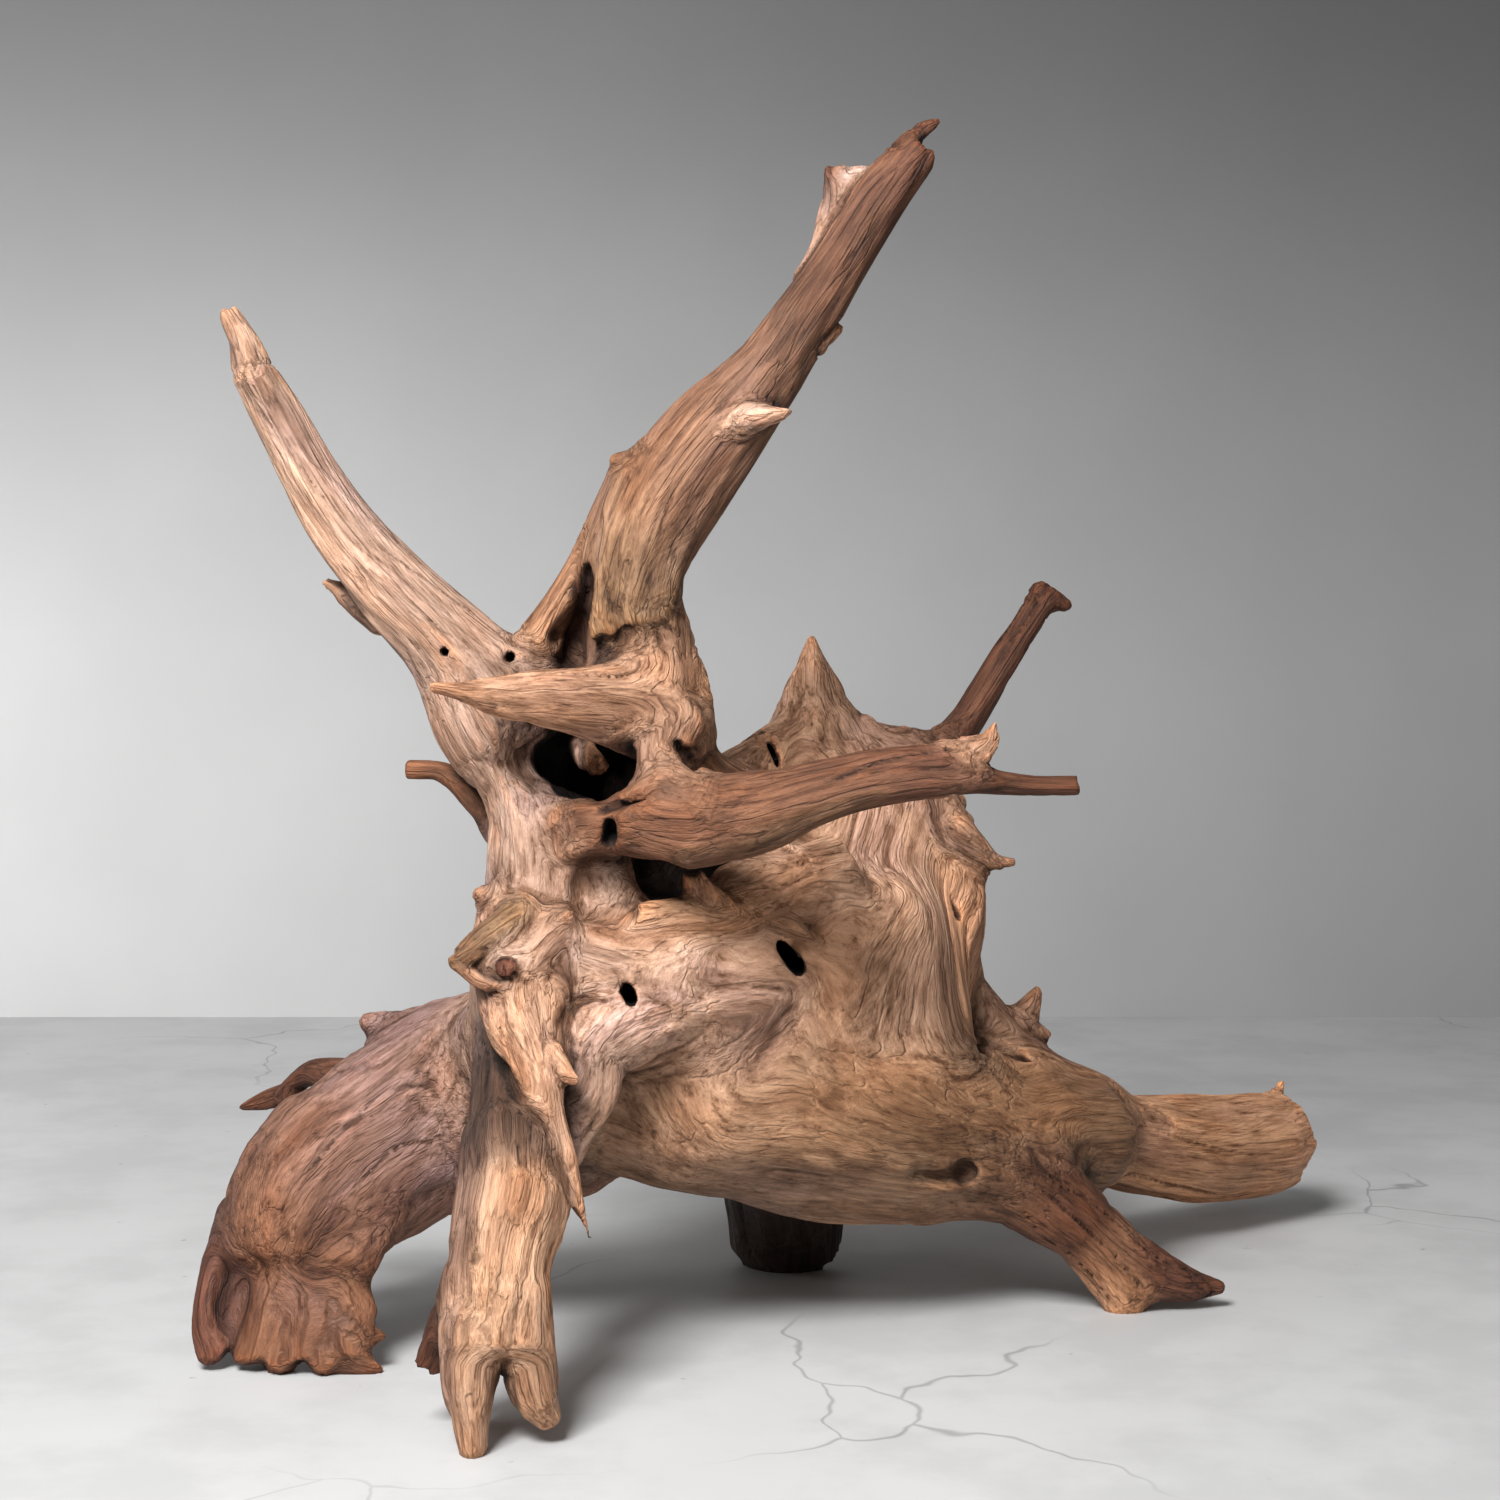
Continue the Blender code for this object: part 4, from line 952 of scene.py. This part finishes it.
def wood_grain_group():
    """Grain of weathered wood, from wide bands down to single fibres, each from 0 to 1."""
    names = ("Bands", "Growth Lines", "Streaks", "Fibres", "Mottle", "Patches", "Hue")
    group, given, out = new_group("Wood Grain", [("Across", "Vector", (0, 0, 0)), ("Along", "Float", 0.0)],
                                  [(name, "Float") for name in names])
    across, along = given["Across"], given["Along"]
    wobble = add(group, "ShaderNodeTexNoise", {"Vector": across, "Scale": 9.0, "Detail": 1.0}).outputs[1]
    wobble = add(group, "ShaderNodeVectorMath", {0: wobble, 1: (0.5, 0.5, 0.5)},
                 operation="SUBTRACT").outputs[0]
    wobble = add(group, "ShaderNodeVectorMath", {0: wobble, "Scale": 0.02}, operation="SCALE").outputs[0]
    bent = add(group, "ShaderNodeVectorMath", {0: across, 1: wobble}, operation="ADD").outputs[0]
    swell = fibre_noise(group, bent, along, 12.0, 0.10, 1.0, 0.4, 0.4)
    turns = math(group, "SINE", math(group, "MULTIPLY", swell, 210.0))
    veins = fibre_noise(group, bent, along, 95.0, 0.035, 2.0, 0.5, 0.15)
    vein = math(group, "ABSOLUTE", math(group, "SUBTRACT", veins, 0.5))
    values = (
        fibre_noise(group, bent, along, 44.0, 0.06, 5.0, 0.62, 0.3),
        remap(group, turns, -1.0, 0.2),
        remap(group, vein, 0.045, 0.0),
        fibre_noise(group, across, along, 240.0, 0.03, 5.0, 0.75),
        fibre_noise(group, bent, along, 75.0, 0.25, 6.0, 0.75),
        fibre_noise(group, bent, along, 7.0, 0.5, 3.0, 0.55),
        fibre_noise(group, bent, along, 16.0, 0.3, 2.0, 0.5))
    for name, value in zip(names, values):
        group.links.new(value, out[name])
    return group


def grime_and_painted_light_group():
    """Where dirt and painted shade gather in crevices, where painted shade lies deep in the hollows,
    and where painted top light falls on faces turned up, each from 0 to 1.
    """
    group, given, out = new_group(
        "Grime And Painted Light", [("Crevice", "Float", 0.0), ("Hollow", "Float", 0.0)],
        [("Grime And Shade", "Float"), ("Painted Shade", "Float"), ("Bleach", "Float")])
    place = add(group, "ShaderNodeTexCoord").outputs["Object"]
    facing = add(group, "ShaderNodeNewGeometry").outputs["Normal"]
    height = add(group, "ShaderNodeSeparateXYZ", {0: facing}).outputs["Z"]
    blotch = add(group, "ShaderNodeTexNoise", {"Vector": place, "Scale": 22.0, "Detail": 4.0,
                                               "Roughness": 0.6}).outputs[0]
    wide = add(group, "ShaderNodeTexNoise", {"Vector": place, "Scale": 5.0, "Detail": 2.0}).outputs[0]
    # Dirt and painted shade in the crevices.
    shut = math(group, "ADD", given["Crevice"], math(group, "MULTIPLY", blotch, 0.4))
    grime = remap(group, shut, 0.52, 0.98)
    # Painted shade deep in the hollows.
    dug = math(group, "ADD", given["Hollow"], math(group, "MULTIPLY", blotch, 0.3))
    rot = remap(group, dug, 0.45, 0.9)
    # Painted top light: faces turned up are paler, in wide patches.
    painted_top_light = math(group, "MULTIPLY", remap(group, height, -0.2, 0.9), remap(group, wide, 0.38, 0.68))
    for name, value in (("Grime And Shade", grime), ("Painted Shade", rot), ("Bleach", painted_top_light)):
        group.links.new(value, out[name])
    return group


def wood_material(wood):
    """Dry, hand-worn driftwood: brown bands and growth lines over each limb's own tint."""
    material = bpy.data.materials.new("weathered_driftwood")
    material.use_nodes = True
    tree = material.node_tree
    shader = tree.nodes["Principled BSDF"]

    def stored(name):
        node = add(tree, "ShaderNodeAttribute", attribute_type="GEOMETRY", attribute_name=name)
        return node.outputs["Vector" if name in ("across", "tint") else "Fac"]

    grain = add(tree, "ShaderNodeGroup", node_tree=wood_grain_group())
    tree.links.new(stored("across"), grain.inputs["Across"])
    tree.links.new(stored("along"), grain.inputs["Along"])
    worn = add(tree, "ShaderNodeGroup", node_tree=grime_and_painted_light_group())
    tree.links.new(stored("crevice"), worn.inputs["Crevice"])
    tree.links.new(stored("hollow"), worn.inputs["Hollow"])
    bands, lines, streaks, fibres, mottle = (
        grain.outputs[n] for n in ("Bands", "Growth Lines", "Streaks", "Fibres", "Mottle"))
    bend = stored("bend")

    def shaded(colour, share, tint):
        """Multiply the colour by a tint, by this share."""
        return mix(tree, share, colour, mix(tree, 1.0, colour, (*tint, 1), "MULTIPLY"))

    def times(value, factor):
        """The value times a number."""
        return math(tree, "MULTIPLY", value, factor)

    patches = remap(tree, grain.outputs["Patches"], 0.32, 0.68, 0.68, 1.20)
    colour = add(tree, "ShaderNodeCombineColor", {0: patches, 1: patches, 2: patches}).outputs[0]
    colour = mix(tree, 1.0, stored("tint"), colour, "MULTIPLY")
    colour = shaded(colour, remap(tree, grain.outputs["Hue"], 0.50, 0.66, 0.0, 0.6), wood.warm_shade)
    colour = shaded(colour, remap(tree, grain.outputs["Hue"], 0.50, 0.34), wood.cool_shade)
    colour = shaded(colour, remap(tree, mottle, 0.56, 0.36, 0.0, 0.6), wood.band_and_crease_shade)
    colour = shaded(colour, remap(tree, bands, 0.56, 0.36, 0.0, 0.7), wood.band_and_crease_shade)
    colour = shaded(colour, times(math(tree, "SUBTRACT", 1.0, lines), 0.14), wood.band_and_crease_shade)
    colour = shaded(colour, remap(tree, fibres, 0.52, 0.34, 0.0, 0.9), wood.band_and_crease_shade)
    colour = shaded(colour, remap(tree, fibres, 0.40, 0.28, 0.0, 0.8), wood.vein_shade)
    slender = remap(tree, stored("girth"), 0.6, 0.25, 0.05, 0.5)
    colour = shaded(colour, math(tree, "MULTIPLY", streaks, slender), wood.vein_shade)
    colour = shaded(colour, remap(tree, fibres, 0.50, 0.66), wood.fibre_glint)
    # Painted top light on faces turned up.
    colour = shaded(colour, times(worn.outputs["Bleach"], 0.5), wood.top_light_tint)
    colour = shaded(colour, remap(tree, bend, -0.02, -0.14, 0.0, 0.8), wood.rubbed)
    # Painted shade in the valleys.
    colour = shaded(colour, remap(tree, bend, 0.006, 0.065, 0.0, 0.85), wood.band_and_crease_shade)
    # Dirt and painted shade in the crevices, and painted shade in the cracks.
    colour = shaded(colour, times(worn.outputs["Grime And Shade"], 0.95), wood.grime)
    colour = shaded(colour, times(stored("crack"), 0.6), wood.grime)
    # Painted shade deep in the hollows.
    colour = shaded(colour, worn.outputs["Painted Shade"], wood.rot)
    tree.links.new(colour, shader.inputs["Base Color"])
    tree.links.new(remap(tree, bands, 0.3, 0.7, 0.75, 0.52), shader.inputs["Roughness"])
    shader.inputs["Specular IOR Level"].default_value = 0.34

    relief = math(tree, "ADD", times(fibres, 1.1), times(mottle, 0.6))
    relief = math(tree, "ADD", relief, times(bands, 0.7))
    relief = math(tree, "SUBTRACT", relief, times(streaks, 0.35))
    relief = math(tree, "ADD", relief, times(lines, 0.12))
    bump = add(tree, "ShaderNodeBump", {"Height": relief, "Strength": 0.9, "Distance": wood.relief})
    tree.links.new(bump.outputs[0], shader.inputs["Normal"])
    material.diffuse_color = (*STRAW, 1)
    return material


def flat_material(name, colour, roughness):
    """A plain painted surface with a faint mottling."""
    material = bpy.data.materials.new(name)
    material.use_nodes = True
    tree = material.node_tree
    shader = tree.nodes["Principled BSDF"]
    place = add(tree, "ShaderNodeTexCoord").outputs["Object"]
    cloud = add(tree, "ShaderNodeTexNoise", {"Vector": place, "Scale": 2.2, "Detail": 5.0}).outputs[0]
    shade = remap(tree, cloud, 0.3, 0.7)
    mottled = mix(tree, shade, (*[c * 0.94 for c in colour], 1), (*colour, 1))
    tree.links.new(mottled, shader.inputs["Base Color"])
    shader.inputs["Roughness"].default_value = roughness
    return material


def shade_over(material, shade):
    """Multiply a flat material's colour by a shade from 0 upwards."""
    tree = material.node_tree
    shade = add(tree, "ShaderNodeCombineColor", {0: shade, 1: shade, 2: shade}).outputs[0]
    painted = tree.nodes["Principled BSDF"].inputs["Base Color"]
    tree.links.new(mix(tree, 1.0, painted.links[0].from_socket, shade, "MULTIPLY"), painted)


def worn_floor_material(name, colour):
    """Painted concrete with a few hairline cracks, smears and specks."""
    material = flat_material(name, colour, 0.6)
    tree = material.node_tree
    place = add(tree, "ShaderNodeTexCoord").outputs["Object"]
    sway = add(tree, "ShaderNodeTexNoise", {"Vector": place, "Scale": 2.5, "Detail": 4.0}).outputs[1]
    sway = add(tree, "ShaderNodeVectorMath", {0: sway, "Scale": 0.35}, operation="SCALE").outputs[0]
    bent = add(tree, "ShaderNodeVectorMath", {0: place, 1: sway}, operation="ADD").outputs[0]
    cell = add(tree, "ShaderNodeTexVoronoi", {"Vector": bent, "Scale": 1.3},
               feature="DISTANCE_TO_EDGE").outputs[0]
    where = add(tree, "ShaderNodeTexNoise", {"Vector": place, "Scale": 1.6, "Detail": 1.0}).outputs[0]
    hairline = math(tree, "MULTIPLY", remap(tree, cell, 0.004, 0.0), remap(tree, where, 0.48, 0.60))
    fine = add(tree, "ShaderNodeTexNoise", {"Vector": place, "Scale": 26.0, "Detail": 3.0,
                                            "Roughness": 0.7}).outputs[0]
    specks = remap(tree, fine, 0.70, 0.76)
    broad = add(tree, "ShaderNodeTexNoise", {"Vector": place, "Scale": 5.0, "Detail": 6.0,
                                             "Roughness": 0.65}).outputs[0]
    smears = remap(tree, broad, 0.42, 0.62, 0.0, 0.10)
    dirt = math(tree, "ADD", math(tree, "MULTIPLY", hairline, 0.35), math(tree, "MULTIPLY", specks, 0.4))
    shade_over(material, math(tree, "SUBTRACT", 1.0, math(tree, "ADD", dirt, smears), clamp=True))
    return material


def backdrop_material(name, colour):
    """A wall that is painted on its front alone, with painted shade that darkens it upwards and to the
    right.
    """
    material = flat_material(name, colour, 0.9)
    tree = material.node_tree
    place = add(tree, "ShaderNodeTexCoord").outputs["Object"]
    place = add(tree, "ShaderNodeSeparateXYZ", {0: place}).outputs
    # Painted shade: the wall darkens upwards and to the right, as the light falls off.
    upwards = remap(tree, place["Z"], 0.4, 1.9, 1.3, 0.4)
    rightwards = remap(tree, place["X"], -1.4, 1.3, 1.3, 0.75)
    shade_over(material, math(tree, "MULTIPLY", upwards, rightwards))
    # Seen from behind, the wall is clear, so the back of the wood shows too.
    clear = add(tree, "ShaderNodeBsdfTransparent").outputs[0]
    behind = add(tree, "ShaderNodeNewGeometry").outputs["Backfacing"]
    front = tree.nodes["Principled BSDF"].outputs[0]
    surface = add(tree, "ShaderNodeMixShader", {0: behind, 1: front, 2: clear}).outputs[0]
    tree.links.new(surface, tree.nodes["Material Output"].inputs["Surface"])
    return material


def sheet(name, corners, material):
    """A flat sheet of the studio."""
    mesh = bpy.data.meshes.new(name)
    mesh.from_pydata(corners, [], [(0, 1, 2, 3)])
    mesh.materials.append(material)
    obj = bpy.data.objects.new(name, mesh)
    bpy.context.scene.collection.objects.link(obj)
    return obj


def softbox(name, place, target, size, power):
    """A square soft light, aimed at a point."""
    light = bpy.data.lights.new(name, "AREA")
    light.shape, light.size, light.energy = "SQUARE", size, power
    obj = bpy.data.objects.new(name, light)
    obj.location = place
    obj.rotation_euler = (Vector(target) - Vector(place)).to_track_quat("-Z", "Y").to_euler()
    bpy.context.scene.collection.objects.link(obj)
    return obj


class DriftwoodSettings(bpy.types.PropertyGroup):
    """Size of the wood's detail, and its colours."""
    grid_step: FloatProperty(name="Grid step", description="Step of the grid on which the surface is found",
                             default=0.0036, min=0.003, max=0.02, unit="LENGTH")
    triangles: IntProperty(name="Triangles", description="What the finished mesh is thinned to",
                           default=196000, min=5000, max=199000)
    ridge_height: FloatProperty(name="Ridges", description="Height of the ridges along the fibres",
                                default=0.0042, min=0, unit="LENGTH")
    fine_ridge_height: FloatProperty(name="Fine ridges", description="Height of the narrow ridges",
                                     default=0.0010, min=0, unit="LENGTH")
    swell_height: FloatProperty(name="Swells", description="Height of the slow swells",
                                default=0.004, min=0, unit="LENGTH")
    fibre_height: FloatProperty(name="Fibre ribs", description="Height of the ribs of single fibres",
                                default=0.0008, min=0, unit="LENGTH")
    crack_depth: FloatProperty(name="Cracks", description="Depth of the drying cracks",
                               default=0.0035, min=0, unit="LENGTH")
    relief: FloatProperty(name="Relief", description="Height of the finest grain",
                          default=0.0034, min=0, unit="LENGTH")
    # Also what painted shade in a valley leaves of the tint.
    band_and_crease_shade: FloatVectorProperty(name="Band shade", description="What a dark band leaves of the tint",
                                    subtype="COLOR", size=3, default=(0.44, 0.35, 0.27))
    vein_shade: FloatVectorProperty(name="Vein shade", description="What a thin vein leaves of the tint",
                                    subtype="COLOR", size=3, default=(0.28, 0.21, 0.16))
    fibre_glint: FloatVectorProperty(name="Fibre glint", description="How a pale fibre lifts the tint",
                                     subtype="COLOR", size=3, default=(1.30, 1.36, 1.42), soft_max=2.0)
    warm_shade: FloatVectorProperty(name="Warm shade", description="Orange turn of the tint",
                                    subtype="COLOR", size=3, default=(1.08, 0.92, 0.76), soft_max=2.0)
    cool_shade: FloatVectorProperty(name="Cool shade", description="Rosy grey turn of the tint",
                                    subtype="COLOR", size=3, default=(0.90, 0.90, 1.00), soft_max=2.0)
    rubbed: FloatVectorProperty(name="Rubbed", description="How bare wood on crests lifts the tint",
                                subtype="COLOR", size=3, default=(1.45, 1.30, 1.15), soft_max=2.0)
    # Painted top light: how much paler a face turned up is made.
    top_light_tint: FloatVectorProperty(name="Bleached", description="How the sun bleaches the tint",
                                  subtype="COLOR", size=3, default=(1.18, 1.30, 1.45), soft_max=2.0)
    # Dirt and painted shade in crevices and cracks.
    grime: FloatVectorProperty(name="Grime And Shade", description="What dirt in a crevice leaves of the tint",
                               subtype="COLOR", size=3, default=(0.14, 0.10, 0.07))
    # Painted shade deep in the hollows.
    rot: FloatVectorProperty(name="Painted Shade", description="What rot in a hollow leaves of the tint",
                             subtype="COLOR", size=3, default=(0.035, 0.026, 0.020))


class DriftwoodStageSettings(bpy.types.PropertyGroup):
    """The plain studio round the wood."""
    floor_colour: FloatVectorProperty(name="Floor", description="Colour of the floor", subtype="COLOR",
                                      size=3, default=(0.48, 0.48, 0.48))
    wall_colour: FloatVectorProperty(name="Wall", description="Colour of the wall", subtype="COLOR", size=3,
                                     default=(0.285, 0.285, 0.285))
    wall_distance: FloatProperty(name="Wall distance", description="How far the wall stands behind",
                                 default=1.84, min=0.5, unit="LENGTH")
    eye_height: FloatProperty(name="Eye height", description="Height of the camera over the floor",
                              default=0.634, min=0, unit="LENGTH")
    eye_distance: FloatProperty(name="Eye distance", description="How far the camera stands in front",
                                default=2.3627, min=0.5, unit="LENGTH")
    key_power: FloatProperty(name="Key power", description="Power that the soft lights share out",
                             default=98.0, min=0)


class DRIFTWOOD_OT_grow_wood(bpy.types.Operator):
    """Grow the whole root and give it its weathered wood"""
    bl_idname = "driftwood.grow_wood"
    bl_label = "Grow Wood"

    def execute(self, context):
        wood = context.scene.driftwood
        obj = grow_wood(wood)
        obj.data.materials.append(wood_material(wood))
        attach(obj, "root")
        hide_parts("driftwood")
        return {"FINISHED"}


class DRIFTWOOD_OT_set_stage(bpy.types.Operator):
    """Set up the pale floor, the wall, the soft lights and the camera"""
    bl_idname = "driftwood.set_stage"
    bl_label = "Set Stage"

    def execute(self, context):
        stage = context.scene.driftwood_stage
        wide, back = HALF_ROOM, stage.wall_distance
        floor = worn_floor_material("pale_floor", stage.floor_colour)
        wall = backdrop_material("grey_wall", stage.wall_colour)
        sheet("floor", [(-wide, -wide, 0), (wide, -wide, 0), (wide, back, 0), (-wide, back, 0)], floor)
        sheet("wall", [(-wide, back, 0), (wide, back, 0), (wide, back, WALL_TOP), (-wide, back, WALL_TOP)],
              wall)
        for name, place, (x, y, z), side, share in LIGHTS:
            softbox(name, place, (x, back if y is None else y, z), side, stage.key_power * share)
        world = bpy.data.worlds.new("soft_room")
        world.use_nodes = True
        room = world.node_tree.nodes["Background"].inputs
        room["Color"].default_value, room["Strength"].default_value = ROOM_GREY, ROOM_LIGHT
        context.scene.world = world
        context.scene.view_settings.view_transform = "Standard"
        camera = bpy.data.cameras.new("camera")
        camera.lens, camera.sensor_width, camera.shift_y = LENS, SENSOR, FRAME_SHIFT
        eye = bpy.data.objects.new("camera", camera)
        eye.location = (-MIDDLE[0], -stage.eye_distance, stage.eye_height)
        eye.rotation_euler = (np.pi / 2, 0, 0)
        context.scene.collection.objects.link(eye)
        context.scene.camera = eye
        return {"FINISHED"}


class DRIFTWOOD_PT_panel(bpy.types.Panel):
    """The steps and settings of the driftwood, in the sidebar"""
    bl_label = "Driftwood"
    bl_idname = "DRIFTWOOD_PT_panel"
    bl_space_type = "VIEW_3D"
    bl_region_type = "UI"
    bl_category = "Driftwood"

    def draw(self, context):
        for settings in (context.scene.driftwood, context.scene.driftwood_stage):
            for name in settings.__annotations__:
                self.layout.prop(settings, name)
        self.layout.operator("driftwood.grow_wood")
        self.layout.operator("driftwood.set_stage")


CLASSES = (DriftwoodSettings, DriftwoodStageSettings, DRIFTWOOD_OT_grow_wood, DRIFTWOOD_OT_set_stage,
           DRIFTWOOD_PT_panel)


def register():
    """Make the settings, the steps and the panel known to Blender."""
    for cls in CLASSES:
        bpy.utils.register_class(cls)
    bpy.types.Scene.driftwood = PointerProperty(type=DriftwoodSettings)
    bpy.types.Scene.driftwood_stage = PointerProperty(type=DriftwoodStageSettings)


def unregister():
    """Take them away again."""
    del bpy.types.Scene.driftwood_stage, bpy.types.Scene.driftwood
    for cls in reversed(CLASSES):
        bpy.utils.unregister_class(cls)


def main():
    """Grow the wood and set the stage."""
    register()
    bpy.ops.driftwood.grow_wood()
    bpy.ops.driftwood.set_stage()


if __name__ == "__main__":
    main()
